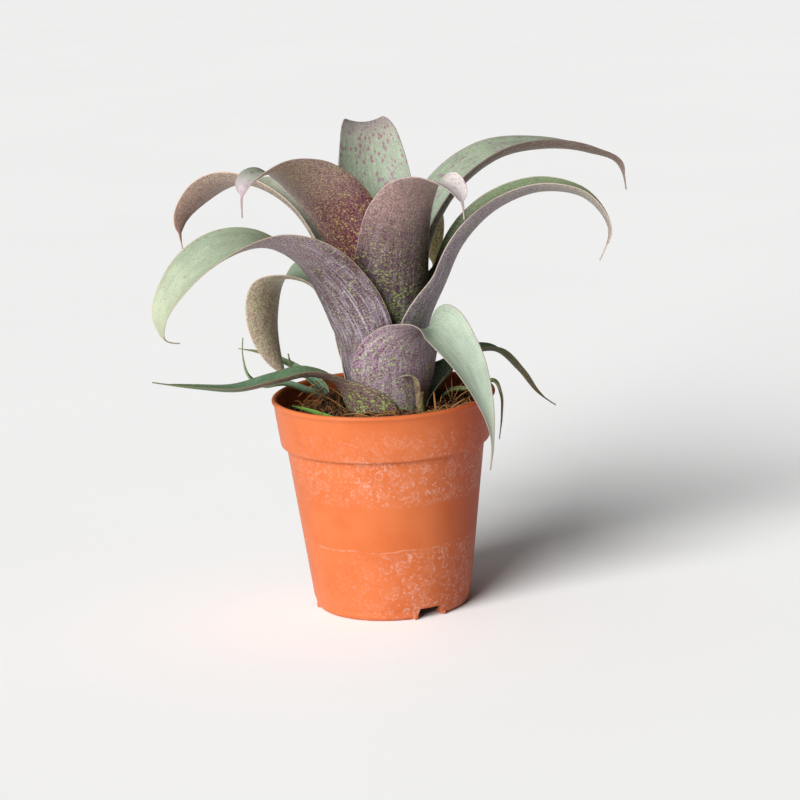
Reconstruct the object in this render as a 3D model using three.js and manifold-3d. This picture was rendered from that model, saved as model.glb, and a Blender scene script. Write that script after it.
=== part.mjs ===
import * as THREE from 'three';
import { mergeVertices } from 'three/addons/utils/BufferGeometryUtils.js';
import Module from 'manifold-3d';

// A vriesea saundersii in its nursery pot. Millimetres, +Z up, the pot's foot stands on z = 0,
// the pot's axis is the Z axis and -Y looks to the front.

// Pot
const POT_HEIGHT = 87;
const RIM_RADIUS = 45;
const BAND_FOOT_RADIUS = 41.8;
const BAND_FOOT_Z = 67.7;
const LIP_RADIUS = 1.05;
const WALL_TOP_RADIUS = 40;
const WALL_FOOT_RADIUS = 31.4;
const FOOT_RADIUS = 31.3;
const FOOT_ROUND = 2.7;
const STACK_STEP_Z = 4.4;
const WALL = 1.2;
const FLOOR = 1.5;
const POT_SEGMENTS = 64;
const CHANNEL_HEIGHT = 4.5;
const CHANNEL_WIDTH = 12;
const CHANNEL_TOP_WIDTH = 9.5;
const CHANNEL_INNER = 17;
const CHANNEL_AZIMUTH = 298.5;
const CHANNELS = 3;
const DRAIN_RADIUS = 3;
const DRAIN_AT = 23;

// Potting mix: its level, the mound about the plant, a dip at the left back, and its clearances
const SOIL = 80;
const MOUND = { at: [3, -6], height: 4.4, radius: 25 };
const DIP = { at: [-27, 22], height: -2.2, radius: 12.6 };
const SOIL_EDGE = 40.6;
const MIX_ROOM = 0.6;
const MIX_SEGMENTS = 48;
const MIX_FOOT_Z = 5.6;
const GAP = 0.3;

// Rosette: every leaf's sheath is a part of a ring about the stem
const STEM_X = 2;
const RING_FIRST = 5.2;
const RING_PITCH = 1.5;
const FLARE_FIRST = 0.07;
const FLARE_STEP = 0.03;
const STEM_TOP_Z = 79;
const STEM_SLOPE = 0.22;
const STEM_RADIUS = 16.2;
const STEM_EDGE_Z = STEM_TOP_Z - STEM_SLOPE * (STEM_RADIUS - RING_FIRST);
const STEM_FOOT_Z = 60;
const STEM_FOOT_RADIUS = 6.5;
const STEM_CROWN_RADIUS = 4.4;
const STEM_EDGE = 0.4;
const LEAF_LIFT = 0.4;
const LEAF_THICKNESS = 0.8;
const LAST_RING = 7;
const HOLE_ROOM = 0.85;
const MOUTH_ROOM = 0.45;
const MOUTH_OVER_SOIL = 3.5;
const SPIKE_WIDTH = 1.5;

// Rows and columns of points on a blade, by its width
const NARROW_WIDTH = 15;
const WIDE_GRID = [21, 8];
const NARROW_GRID = [15, 6];
const SHOOT_GRID = [13, 5];

// Rolled young leaf in the heart
const BUD_RADIUS = 4;
const BUD_LENGTH = 47;

// Small shoots: stubs set in the mix
const SHOOT_THICKNESS = 0.7;
const SHOOT_FOOT_Z = 74;
const SHOOT_BASE_Z = 76;
const SHOOT_STUB_TOP = 81;
const SHOOT_FLARE = 0.1;
const SHOOT_ROOM = 0.55;

const COLOURS = {
  pot: [0xe07f50, 0.55],
  soil: [0x3b2a1f, 0.97],
  stem: [0x6b5a3c, 0.85],
  bud: [0x8aa873, 0.5],
  purple: [0x776069, 0.55],
  pale: [0x9fb39a, 0.55],
  mottled: [0x6d7550, 0.55],
  green: [0x4f7a3f, 0.55],
};

// Leaves. ring: place in the nest of sheaths; az: bearing seen from above, 90 is straight back;
// wrap: half the angle the sheath covers; sheath: its height over the soil; dish: half the angle of
// the trough from the sheath to the tip; tip: length of the narrow end;
// midrib: [out, sideways, up over the soil, roll in degrees].
const LEAVES = [
  { name: 'heart_leaf_right', az: 330, ring: 0, wrap: 82, sheath: 40, width: 20, dish: [75, 60, 45, 30],
    colour: 'mottled',
    midrib: [[8.2, 0, 56], [9.6, 0, 68], [12, 0, 77], [15.5, 0, 81]] },
  { name: 'heart_leaf_left', az: 150, ring: 0, wrap: 82, sheath: 38, width: 16, dish: [75, 60, 45, 30],
    colour: 'mottled',
    midrib: [[8, 0, 52], [8.6, 0, 62], [9.6, 0, 69], [11, 0, 73]] },
  { name: 'back_top_leaf', az: 96, ring: 1, wrap: 80, sheath: 46, width: 40.5, dish: [78, 50, 30, 25],
    taper: 1.75, blunt: 1.05, colour: 'pale',
    midrib: [[15, 0, 72], [21, 0, 93], [31, 0, 106.5], [45, 0, 110.5], [58, 0, 102], [63, 0, 88]] },
  { name: 'left_upper_back_leaf', az: 147, ring: 3, wrap: 60, sheath: 44, width: 31,
    dish: [58, 50, 35, 28], colour: 'purple',
    midrib: [[25, 0, 62], [37, 0, 78, 3], [53, 0, 86.5, 8], [71.5, 0, 88.3, 17],
      [88.5, 0, 81.5, 26], [99, 0, 70, 26], [98.5, 0, 60, 18]] },
  { name: 'left_upper_leaf', az: 214, ring: 2, wrap: 78, sheath: 50, width: 38, dish: [70, 50, 38, 30],
    taper: 2.6, blunt: 0.6, tip: 9, colour: 'purple',
    midrib: [[17, 0, 68, 18], [26, 0, 86, 26], [38, 0, 97, 22], [50.5, 0, 101.5, 10],
      [61, 0, 98.3], [63.5, 0, 86]] },
  { name: 'right_upper_leaf', az: 28, ring: 2, wrap: 82, sheath: 48, width: 26, dish: [72, 65, 55, 40],
    colour: 'pale',
    midrib: [[21, 0, 66.5], [34, 0, 85, 4], [52, 0, 95.4, 4], [76, 0, 97.5], [98, 0, 93.5],
      [113, 0, 86.5], [116, 0, 76]] },
  { name: 'front_centre_leaf', az: 288, ring: 3, wrap: 72, sheath: 50, width: 35.5,
    dish: [60, 52, 38, 30], taper: 2.6, blunt: 0.8, colour: 'purple',
    midrib: [[19, 2, 66], [23, 4.4, 82], [30, 7.6, 91.8], [39, 12.8, 95.6], [46, 17, 92.6],
      [48, 18.5, 82]] },
  { name: 'right_middle_leaf', az: 358, ring: 4, wrap: 72, sheath: 38, width: 27, dish: [46, 60, 50, 35],
    colour: 'purple',
    midrib: [[24.5, 0, 50], [33, 0, 66.8, 2], [47, 0, 80, 2], [66.5, 0, 86], [82, 0, 82, -2],
      [90.5, 0, 69], [86.5, 0, 57]] },
  { name: 'left_low_back_leaf', az: 150, ring: 4, wrap: 40, sheath: 26, width: 24,
    dish: [44, 46, 35, 30], taper: 2.2, blunt: 0.55, tip: 4, colour: 'purple',
    midrib: [[21.6, 0, 38], [30, 0, 49.2, -4], [43, 0, 52, -8], [52.5, 0, 46, 12],
      [56, 0, 33, 18], [53, 0, 19, 12], [47, 0, 9]] },
  { name: 'left_big_leaf', az: 236, ring: 5, wrap: 43, sheath: 36, width: 34, dish: [41, 48, 40, 30],
    colour: 'pale',
    midrib: [[24.5, -5, 48, 8], [33.5, -12.5, 63.5, 9], [46.5, -23, 72.5, 1],
      [61.5, -33.5, 71.5, -12], [76, -42, 62, -17], [84, -46.5, 48, -12], [83, -46, 41],
      [78, -43, 39]] },
  { name: 'back_inner_leaf', az: 71, ring: 5, wrap: 26, sheath: 30, width: 26, dish: [30, 44, 38, 30],
    colour: 'pale',
    midrib: [[22, 0, 44], [30, 0, 58], [41, 0, 68], [54, 0, 68], [64, 0, 56], [66, 0, 41]] },
  { name: 'front_low_leaf', az: 292, ring: 6, wrap: 72, sheath: 16, width: 26.5, dish: [38, 42, 38, 40],
    taper: 1.6, blunt: 1.2, tip: 14, colour: 'pale',
    midrib: [[21.4, 0, 25.5], [24.2, 3.2, 33, 4], [30, 8.5, 37.7, 20], [38.5, 15, 29, 26],
      [44, 21.5, 12, 28], [45, 25, -6, 29], [41.8, 25, -20, 31]] },
  { name: 'back_low_leaf', az: 104, ring: 6, wrap: 59, sheath: 12, width: 24, dish: [38, 46, 38, 30],
    colour: 'pale',
    midrib: [[22, 0, 22], [31, 0, 29], [44, 0, 29], [56, 0, 20], [62, 0, 5], [61, 0, -6]] },
  { name: 'left_narrow_leaf', az: 215, ring: 7, wrap: 66, sheath: 4, width: 14, dish: [26, 50, 45, 30],
    grow: 13, colour: 'mottled',
    midrib: [[23, -2, 13.6], [33, -6, 18], [46, -11, 16.8], [60, -18, 14.6], [74, -26, 16.8],
      [89, -34, 20.4]] },
  { name: 'right_narrow_leaf', az: 22, ring: 7, wrap: 50, sheath: 4, width: 12, dish: [26, 50, 38, 30],
    grow: 18, colour: 'mottled',
    midrib: [[26, 0, 12], [36, 0, 18], [47, 0, 18.3], [58, 0, 8.6], [66, 0, -1.6], [74, 0, -8]] },
];

// Small shoots beside the rosette: each has its own axis, a short stub in the soil and thin blades.
const SHOOTS = [
  { name: 'offset_shoot', at: [-23, 13], stub: 3, stubTop: 84.5, colour: 'green', blades: [
    { az: 135, radius: 1.4, wrap: 45, sheath: 4, width: 4.5, dish: [50, 45, 35, 30], tip: 6, grow: 6,
      midrib: [[8, 0, 8.5], [17.5, -1.5, 11.7], [30, -3, 14.3], [42, -3, 16.2], [55, -3, 16.6]] },
    { az: 180, radius: 2.3, wrap: 45, sheath: 3, width: 6.5, dish: [50, 45, 35, 30], tip: 8, grow: 6,
      midrib: [[9, 0, 6], [17, 0, 9], [26, 1, 9], [31, 2, 13], [33, 3, 22], [32.5, 3.5, 30]] },
    { az: 100, radius: 1.7, wrap: 32, sheath: 4, width: 2.6, dish: [50, 45, 35, 30], tip: 5, grow: 5,
      midrib: [[6, 2, 8], [14, 8, 10], [20, 11, 13], [21, 12, 18]] },
  ] },
  { name: 'front_shoot', at: [14.5, -19], stub: 2, stubTop: 91, colour: 'mottled', blades: [
    { az: 200, radius: 0.1, wrap: 80, sheath: 13, width: 3.4, dish: [70, 50, 40, 30], tip: 4, grow: 5,
      midrib: [[2, 0, 15.5], [3.8, 0, 17.3], [6.4, 0, 17.7], [9.6, 0, 17]] },
  ] },
  { name: 'left_shoot', at: [-18, -29], stub: 1.3, colour: 'green', blades: [
    { az: 133, radius: 0.4, wrap: 70, sheath: 2, width: 2.6, dish: [60, 40, 35, 30], tip: 4, grow: 5,
      midrib: [[4, 0, 2.6], [12, 0, 3.8], [20, 0, 4.7], [27, 0, 5.2]] },
  ] },
  { name: 'right_low_shoot', at: [22.5, 4], stub: 1.7, colour: 'mottled', blades: [
    { az: 354, radius: 0.8, wrap: 70, sheath: 2.5, width: 4.2, dish: [60, 45, 35, 30], tip: 5, grow: 5,
      midrib: [[5, 0, 5], [12, 0, 5.8], [18, 0, 8], [22.2, 0, 8.8], [24.7, 0, 3.4], [24.8, 0, -5],
        [23.6, 0, -15]] },
  ] },
];

const rad = THREE.MathUtils.degToRad;
const clamp = THREE.MathUtils.clamp;
const smooth = (x) => THREE.MathUtils.smoothstep(x, 0, 1);

const wasm = await Module();
wasm.setup();

// Corners that meet are joined and triangles without area are dropped.
function weld(geometry) {
  geometry.deleteAttribute('normal');
  geometry.deleteAttribute('uv');
  const welded = mergeVertices(geometry, 1e-4);
  const kept = [];
  const index = welded.index.array;
  for (let i = 0; i < index.length; i += 3) {
    const [a, b, c] = [index[i], index[i + 1], index[i + 2]];
    if (a !== b && b !== c && a !== c) kept.push(a, b, c);
  }
  welded.setIndex(kept);
  return welded;
}

function solid(geometry) {
  const welded = weld(geometry);
  return new wasm.Manifold(new wasm.Mesh({
    numProp: 3,
    vertProperties: new Float32Array(welded.attributes.position.array),
    triVerts: new Uint32Array(welded.index.array),
  }));
}

function surface(body) {
  const mesh = body.getMesh();
  const geometry = new THREE.BufferGeometry();
  geometry.setAttribute('position', new THREE.BufferAttribute(new Float32Array(mesh.vertProperties), 3));
  geometry.setIndex([...mesh.triVerts]);
  return geometry;
}

// Closed profile turned about the Z axis; the points run upwards on the outside.
function lathe(profile, segments) {
  const points = profile.map(([r, z]) => new THREE.Vector2(r, z));
  return new THREE.LatheGeometry(points, segments).rotateX(Math.PI / 2);
}

// Straight bar along X with a section given in Y and Z.
function bar(section, from, to) {
  const shape = new THREE.Shape(section.map(([y, z]) => new THREE.Vector2(y, z)));
  const geometry = new THREE.ExtrudeGeometry(shape, { depth: to - from, bevelEnabled: false });
  geometry.applyMatrix4(new THREE.Matrix4().set(0, 0, 1, from, 1, 0, 0, 0, 0, 1, 0, 0, 0, 0, 0, 1));
  return geometry;
}

function cylinder(radius, z0, z1, x = 0, y = 0, segments = 16) {
  return new THREE.CylinderGeometry(radius, radius, z1 - z0, segments)
    .rotateX(Math.PI / 2).translate(x, y, (z0 + z1) / 2);
}

// Round stretch of a profile: points of an arc about [r, z], angles in degrees.
function arc(r, z, radius, from, to, steps) {
  return Array.from({ length: steps + 1 }, (_, i) => {
    const a = rad(from + ((to - from) * i) / steps);
    return [r + radius * Math.cos(a), z + radius * Math.sin(a)];
  });
}

// Cubic curve through rows of numbers at uneven knots.
function through(knots, rows) {
  const n = rows.length;
  const pace = (i, k) => (rows[i + 1][k] - rows[i][k]) / (knots[i + 1] - knots[i]);
  const step = rows.slice(1).map((row, i) => row.map((_, k) => pace(i, k)));
  const slope = rows.map((row, i) => row.map((_, k) => {
    if (i === 0 || i === n - 1) return 0;
    const [h0, h1] = [knots[i] - knots[i - 1], knots[i + 1] - knots[i]];
    return (step[i - 1][k] * h1 + step[i][k] * h0) / (h0 + h1);
  }));
  slope[0] = slope[0].map((_, k) => 1.5 * step[0][k] - 0.5 * slope[1][k]);
  slope[n - 1] = slope[n - 1].map((_, k) => 1.5 * step[n - 2][k] - 0.5 * slope[n - 2][k]);
  return (t) => {
    let i = 0;
    while (i < n - 2 && t > knots[i + 1]) i += 1;
    const h = knots[i + 1] - knots[i];
    const u = clamp((t - knots[i]) / h, 0, 1);
    const [a, b] = [2 * u ** 3 - 3 * u ** 2 + 1, u ** 3 - 2 * u ** 2 + u];
    const [c, d] = [3 * u ** 2 - 2 * u ** 3, u ** 3 - u ** 2];
    return rows[i].map((v, k) => a * v + b * h * slope[i][k] + c * rows[i + 1][k] + d * h * slope[i + 1][k]);
  };
}

function mixed(list, u) {
  const x = u * (list.length - 1);
  const i = Math.min(Math.floor(x), list.length - 2);
  return list[i] + (list[i + 1] - list[i]) * (x - i);
}

// Middle surface of a leaf as rows of points, from the base to the tip.
function leafRows(leaf, rowCount, columnCount) {
  const { radius, flare, baseZ, axis, sheath, wrap, width, dish, midrib } = leaf;
  const { tip = 7, grow = 25, taper = 2.2, blunt = 0.75 } = leaf;
  const samples = 600;
  const sheathZ = SOIL + sheath;
  const rise = flare * (sheathZ - baseZ);
  const rows = [[radius, 0, baseZ, 0], [radius + rise / 2, 0, (baseZ + sheathZ) / 2, 0],
    [radius + rise, 0, sheathZ, 0]];
  for (const [out, side, up, roll = 0] of midrib) rows.push([out, side, SOIL + up, roll]);
  const knots = [0];
  for (let i = 1; i < rows.length; i += 1) {
    const [p, q] = [rows[i - 1], rows[i]];
    knots.push(knots[i - 1] + Math.hypot(q[0] - p[0], q[1] - p[1], q[2] - p[2]));
  }
  const curve = through(knots, rows);
  const end = knots[knots.length - 1];
  const point = (t) => new THREE.Vector3(...curve(t).slice(0, 3));
  const fine = [];
  let length = 0;
  let sheathLength = 0;
  for (let i = 0; i <= samples; i += 1) {
    const t = (end * i) / samples;
    const p = point(t);
    if (i) length += p.distanceTo(fine[i - 1].p);
    if (t <= knots[2]) sheathLength = length;
    fine.push({ t, p, s: length });
  }
  const knotAt = (s) => {
    let i = 1;
    while (i < samples && fine[i].s < s) i += 1;
    const [a, b] = [fine[i - 1], fine[i]];
    return a.t + (b.t - a.t) * clamp((s - a.s) / (b.s - a.s), 0, 1);
  };
  const inward = new THREE.Vector3(-1, 0, 0);
  const turn = new THREE.Matrix4().makeRotationZ(rad(leaf.az)).setPosition(axis[0], axis[1], 0);
  const result = [];
  for (let j = 0; j < rowCount; j += 1) {
    const s = length * (1 - (1 - j / (rowCount - 1)) ** 1.2);
    const t = knotAt(s);
    const p = point(t);
    const along = point(Math.min(end, t + 0.02)).sub(point(Math.max(0, t - 0.02))).normalize();
    const side = new THREE.Vector3(-p.y, p.x, 0).normalize();
    side.addScaledVector(along, -along.dot(side)).normalize();
    const face = new THREE.Vector3().crossVectors(along, side);
    const roll = rad(curve(t)[3]);
    const across = side.clone().multiplyScalar(Math.cos(roll)).addScaledVector(face, Math.sin(roll));
    const upper = face.multiplyScalar(Math.cos(roll)).addScaledVector(side, -Math.sin(roll));
    const u = clamp((s - sheathLength) / (length - tip - sheathLength), 0, 1);
    const open = smooth((s - sheathLength * 0.85) / grow);
    const lean = smooth((s - sheathLength * 0.9) / Math.min(22, grow));
    const half = rad(wrap) * (1 - open) + rad(mixed(dish, u)) * open;
    const spike = SPIKE_WIDTH * (u > 0.3 ? clamp((length - s) / tip, 0.3, 1) : 1);
    const blade = width * (1 - u ** taper) ** blunt + spike;
    const full = 2 * rad(wrap) * p.x * (1 - open) + blade * open;
    const bend = full / (2 * half);
    const towards = inward.clone().multiplyScalar(1 - lean).addScaledVector(upper, lean).normalize();
    const row = [];
    for (let i = 0; i < columnCount; i += 1) {
      const angle = half * ((2 * i) / (columnCount - 1) - 1);
      row.push(p.clone().addScaledVector(across, bend * Math.sin(angle))
        .addScaledVector(towards, bend * (1 - Math.cos(angle))).applyMatrix4(turn));
    }
    result.push(row);
  }
  return result;
}

// The middle surface gets its thickness: both faces carry the same triangles and a rim closes them.
function blade(rows, thickness) {
  const [n, m] = [rows.length, rows[0].length];
  const positions = [];
  for (const sign of [1, -1]) {
    for (let j = 0; j < n; j += 1) {
      for (let i = 0; i < m; i += 1) {
        const along = rows[Math.min(j + 1, n - 1)][i].clone().sub(rows[Math.max(j - 1, 0)][i]);
        const across = rows[j][Math.min(i + 1, m - 1)].clone().sub(rows[j][Math.max(i - 1, 0)]);
        const normal = across.cross(along).normalize();
        const p = rows[j][i].clone().addScaledVector(normal, (-sign * thickness) / 2);
        positions.push(p.x, p.y, p.z);
      }
    }
  }
  const index = [];
  const top = (j, i) => j * m + i;
  const under = (j, i) => (n + j) * m + i;
  const quad = (a, b, c, d) => index.push(a, b, c, a, c, d);
  for (let j = 0; j < n - 1; j += 1) {
    for (let i = 0; i < m - 1; i += 1) {
      quad(top(j, i), top(j + 1, i), top(j + 1, i + 1), top(j, i + 1));
      index.push(under(j, i), under(j + 1, i + 1), under(j + 1, i));
      index.push(under(j, i), under(j, i + 1), under(j + 1, i + 1));
    }
    quad(top(j, 0), under(j, 0), under(j + 1, 0), top(j + 1, 0));
    quad(top(j, m - 1), top(j + 1, m - 1), under(j + 1, m - 1), under(j, m - 1));
  }
  for (let i = 0; i < m - 1; i += 1) {
    quad(top(0, i), top(0, i + 1), under(0, i + 1), under(0, i));
    quad(top(n - 1, i), under(n - 1, i), under(n - 1, i + 1), top(n - 1, i + 1));
  }
  const geometry = new THREE.BufferGeometry();
  geometry.setAttribute('position', new THREE.Float32BufferAttribute(positions, 3));
  geometry.setIndex(index);
  return geometry;
}

const ringRadius = (ring) => RING_FIRST + RING_PITCH * ring;
const ringFlare = (ring) => FLARE_FIRST + FLARE_STEP * ring;
const stemTop = (radius) => STEM_TOP_Z - STEM_SLOPE * (radius - RING_FIRST);

function rosetteLeaf(leaf) {
  const radius = ringRadius(leaf.ring);
  const placed = { ...leaf, radius, flare: ringFlare(leaf.ring), axis: [STEM_X, 0],
    baseZ: stemTop(radius) + LEAF_LIFT };
  const narrow = leaf.width < NARROW_WIDTH;
  return blade(leafRows(placed, ...(narrow ? NARROW_GRID : WIDE_GRID)), LEAF_THICKNESS);
}

function shoot({ at, stub, stubTop = SHOOT_STUB_TOP, blades }) {
  let body = solid(cylinder(stub, SHOOT_FOOT_Z, stubTop, at[0], at[1], 14));
  for (const part of blades) {
    const placed = { ...part, flare: SHOOT_FLARE, baseZ: SHOOT_BASE_Z, axis: at };
    body = body.add(solid(blade(leafRows(placed, ...SHOOT_GRID), SHOOT_THICKNESS)));
  }
  return surface(body);
}

const wallAt = (z) => WALL_FOOT_RADIUS
  + ((WALL_TOP_RADIUS - WALL_FOOT_RADIUS) * (z - FOOT_ROUND)) / (BAND_FOOT_Z - FOOT_ROUND);
const channelAt = (i) => rad(CHANNEL_AZIMUTH + (360 / CHANNELS) * i);

// Section of the hood over a drain channel, grown by the given room.
function hood(room) {
  const [w, v] = [CHANNEL_WIDTH / 2 + WALL + room, CHANNEL_TOP_WIDTH / 2 + WALL + room];
  return [[-w, FLOOR / 3], [w, FLOOR / 3], [v, CHANNEL_HEIGHT + WALL + room],
    [-v, CHANNEL_HEIGHT + WALL + room]];
}

// The pot's wall, its outward band with a small lip, and the base with drain channels.
function pot() {
  const profile = [
    [0, 0],
    ...arc(FOOT_RADIUS - FOOT_ROUND, FOOT_ROUND, FOOT_ROUND, -90, 0, 3),
    [wallAt(STACK_STEP_Z), STACK_STEP_Z],
    [wallAt(STACK_STEP_Z) + 0.3, STACK_STEP_Z + 0.3],
    [WALL_TOP_RADIUS, BAND_FOOT_Z - 0.2],
    [BAND_FOOT_RADIUS, BAND_FOOT_Z],
    [BAND_FOOT_RADIUS + 0.4, BAND_FOOT_Z + 1],
    [RIM_RADIUS - 0.9, POT_HEIGHT - 3.2],
    ...arc(RIM_RADIUS - LIP_RADIUS, POT_HEIGHT - LIP_RADIUS, LIP_RADIUS, -40, 180, 6),
    [BAND_FOOT_RADIUS - WALL + 0.4, BAND_FOOT_Z + 1.4],
    [WALL_TOP_RADIUS - WALL, BAND_FOOT_Z + 0.6],
    ...arc(FOOT_RADIUS - FOOT_ROUND - 0.2, FLOOR + 2, 2, 0, -90, 2),
    [0, FLOOR],
  ];
  let body = solid(lathe(profile, POT_SEGMENTS));
  const [w, v, h] = [CHANNEL_WIDTH / 2, CHANNEL_TOP_WIDTH / 2, CHANNEL_HEIGHT];
  const tunnel = [[-w, -1], [w, -1], [w, 0], [v, h], [-v, h], [-w, 0]];
  for (let i = 0; i < CHANNELS; i += 1) {
    const turned = (geometry) => solid(geometry.rotateZ(channelAt(i)));
    body = body.add(turned(bar(hood(0), CHANNEL_INNER - WALL, FOOT_RADIUS - WALL / 2)))
      .subtract(turned(bar(tunnel, CHANNEL_INNER, RIM_RADIUS)))
      .subtract(turned(cylinder(DRAIN_RADIUS, h / 2, 2 * h, DRAIN_AT, 0, 20)));
  }
  return surface(body);
}

// Height of the potting mix: a mound about the plant with lumps, lower at the left back.
function soilHeight(x, y) {
  const hump = ({ at, height, radius }) => height
    * Math.exp(-((x - at[0]) ** 2 + (y - at[1]) ** 2) / radius ** 2);
  const lumps = 0.45 * Math.sin(0.62 * x + 0.8) * Math.cos(0.55 * y) + 0.3 * Math.sin(1.15 * y + 0.4 * x);
  return SOIL - 0.4 + hump(MOUND) + hump(DIP) + lumps;
}

// The mix fills the pot; in the middle the stem and the sheaths stand in one hole.
function soil() {
  const outer = ringRadius(LAST_RING);
  const mouth = outer + LEAF_THICKNESS / 2 + MOUTH_ROOM
    + ringFlare(LAST_RING) * (SOIL + MOUTH_OVER_SOIL - STEM_EDGE_Z);
  const innerAt = (z) => wallAt(z) - WALL - MIX_ROOM;
  const shoulder = BAND_FOOT_Z - 1.7;
  const floor = FLOOR + 0.5;
  const rings = [
    { r: STEM_FOOT_RADIUS + GAP, z: STEM_FOOT_Z - GAP, c: STEM_X },
    { r: outer + HOLE_ROOM, z: STEM_EDGE_Z - STEM_EDGE, c: STEM_X },
  ];
  for (const t of [0, 0.16, 0.36, 0.58, 0.8, 1]) {
    rings.push({ r: mouth + (SOIL_EDGE - mouth) * t, z: null, c: STEM_X * (1 - t) });
  }
  rings.push({ r: SOIL_EDGE - 0.4, z: BAND_FOOT_Z + 2.4, c: 0 });
  rings.push({ r: innerAt(BAND_FOOT_Z) - 0.1, z: BAND_FOOT_Z + 1, c: 0 });
  rings.push({ r: innerAt(shoulder), z: shoulder, c: 0 });
  rings.push({ r: innerAt(MIX_FOOT_Z), z: MIX_FOOT_Z, c: 0 });
  rings.push({ r: FOOT_RADIUS - FOOT_ROUND - 1, z: floor, c: 0 });
  const positions = [STEM_X, 0, STEM_FOOT_Z - GAP];
  for (const { r, z, c } of rings) {
    for (let i = 0; i < MIX_SEGMENTS; i += 1) {
      const a = (2 * Math.PI * i) / MIX_SEGMENTS;
      const [x, y] = [c + r * Math.cos(a), r * Math.sin(a)];
      positions.push(x, y, z === null ? soilHeight(x, y) : z);
    }
  }
  positions.push(0, 0, floor - 0.2);
  const index = [];
  const at = (ring, i) => 1 + ring * MIX_SEGMENTS + (i % MIX_SEGMENTS);
  const last = rings.length - 1;
  for (let i = 0; i < MIX_SEGMENTS; i += 1) {
    index.push(0, at(0, i), at(0, i + 1));
    for (let k = 0; k < last; k += 1) {
      index.push(at(k, i), at(k + 1, i), at(k + 1, i + 1), at(k, i), at(k + 1, i + 1), at(k, i + 1));
    }
    index.push(1 + (last + 1) * MIX_SEGMENTS, at(last, i + 1), at(last, i));
  }
  const geometry = new THREE.BufferGeometry();
  geometry.setAttribute('position', new THREE.Float32BufferAttribute(positions, 3));
  geometry.setIndex(index);
  let body = solid(geometry);
  for (let i = 0; i < CHANNELS; i += 1) {
    const room = bar(hood(GAP), CHANNEL_INNER - WALL - GAP, FOOT_RADIUS + 5);
    body = body.subtract(solid(room.rotateZ(channelAt(i))));
  }
  for (const { at: [x, y], stub } of SHOOTS) {
    body = body.subtract(solid(cylinder(stub + SHOOT_ROOM, SHOOT_FOOT_Z - GAP, POT_HEIGHT + 9, x, y, 14)));
  }
  return surface(body);
}

// Short conical stem: every leaf base stands just over its upper slope.
function stem() {
  const crown = stemTop(STEM_CROWN_RADIUS);
  const profile = [
    [0, STEM_FOOT_Z],
    [STEM_FOOT_RADIUS, STEM_FOOT_Z],
    [STEM_RADIUS, STEM_EDGE_Z - STEM_EDGE],
    [STEM_RADIUS, STEM_EDGE_Z],
    [STEM_CROWN_RADIUS, crown],
    [0, crown],
  ];
  return weld(lathe(profile, 32).translate(STEM_X, 0, 0));
}

// Rolled young leaf in the heart of the rosette.
function bud() {
  const foot = stemTop(STEM_CROWN_RADIUS) + GAP;
  const profile = [[0, foot]];
  for (const t of [0, 0.3, 0.55, 0.75, 0.9, 1]) {
    profile.push([BUD_RADIUS * (1 - t ** 2.4), foot + BUD_LENGTH * t]);
  }
  return weld(lathe(profile, 16).translate(STEM_X, 0, 0));
}

function finished(name, geometry, finish) {
  const [color, roughness] = COLOURS[finish];
  geometry.computeVertexNormals();
  const mesh = new THREE.Mesh(geometry, new THREE.MeshStandardMaterial({ color, roughness, metalness: 0 }));
  mesh.name = name;
  return mesh;
}

const plant = new THREE.Group();
plant.name = 'potted_vriesea_saundersii';
plant.add(finished('pot', pot(), 'pot'));
plant.add(finished('potting_mix', soil(), 'soil'));
plant.add(finished('stem', stem(), 'stem'));
plant.add(finished('heart_bud', bud(), 'bud'));
for (const leaf of LEAVES) plant.add(finished(leaf.name, rosetteLeaf(leaf), leaf.colour));
for (const item of SHOOTS) plant.add(finished(item.name, shoot(item), item.colour));

export default plant;
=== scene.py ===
"""A potted vriesea saundersii in its nursery pot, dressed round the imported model."""

import logging
import math
import random
from dataclasses import dataclass, field, replace
from enum import Enum

import bpy
import numpy as np
from mathutils import Matrix, Vector, noise


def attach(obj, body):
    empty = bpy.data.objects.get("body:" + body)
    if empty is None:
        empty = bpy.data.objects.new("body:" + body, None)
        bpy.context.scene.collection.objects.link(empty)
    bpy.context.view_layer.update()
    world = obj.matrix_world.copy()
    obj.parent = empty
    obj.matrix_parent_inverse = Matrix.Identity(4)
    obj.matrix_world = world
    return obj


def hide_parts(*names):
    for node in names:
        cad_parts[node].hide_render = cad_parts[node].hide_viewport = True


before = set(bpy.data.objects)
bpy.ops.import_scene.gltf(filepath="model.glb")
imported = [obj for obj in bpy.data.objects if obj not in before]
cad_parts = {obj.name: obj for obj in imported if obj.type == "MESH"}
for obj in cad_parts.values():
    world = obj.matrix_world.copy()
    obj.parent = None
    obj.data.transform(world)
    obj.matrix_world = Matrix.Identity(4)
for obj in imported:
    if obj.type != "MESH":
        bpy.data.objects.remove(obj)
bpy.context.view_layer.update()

LOG = logging.getLogger("potted_vriesea")

# Sizes in millimetres, the same as in the frame: the pot
MM = 0.001
POT_HEIGHT = 87.0
RIM_RADIUS = 45.0
BAND_FOOT_RADIUS = 41.8
BAND_FOOT_Z = 67.7
LIP_RADIUS = 1.05
WALL_TOP_RADIUS = 40.0
WALL_FOOT_RADIUS = 31.4
FOOT_RADIUS = 31.3
FOOT_ROUND = 2.7
STACK_STEP_Z = 4.4
WALL = 1.2
FLOOR = 1.5
CHANNEL_HEIGHT = 4.5
CHANNEL_WIDTH = 12.0
CHANNEL_TOP_WIDTH = 9.5
CHANNEL_INNER = 17.0
CHANNEL_AZIMUTH = 298.5
CHANNELS = 3
DRAIN_RADIUS = 3.0
DRAIN_AT = 23.0

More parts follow.
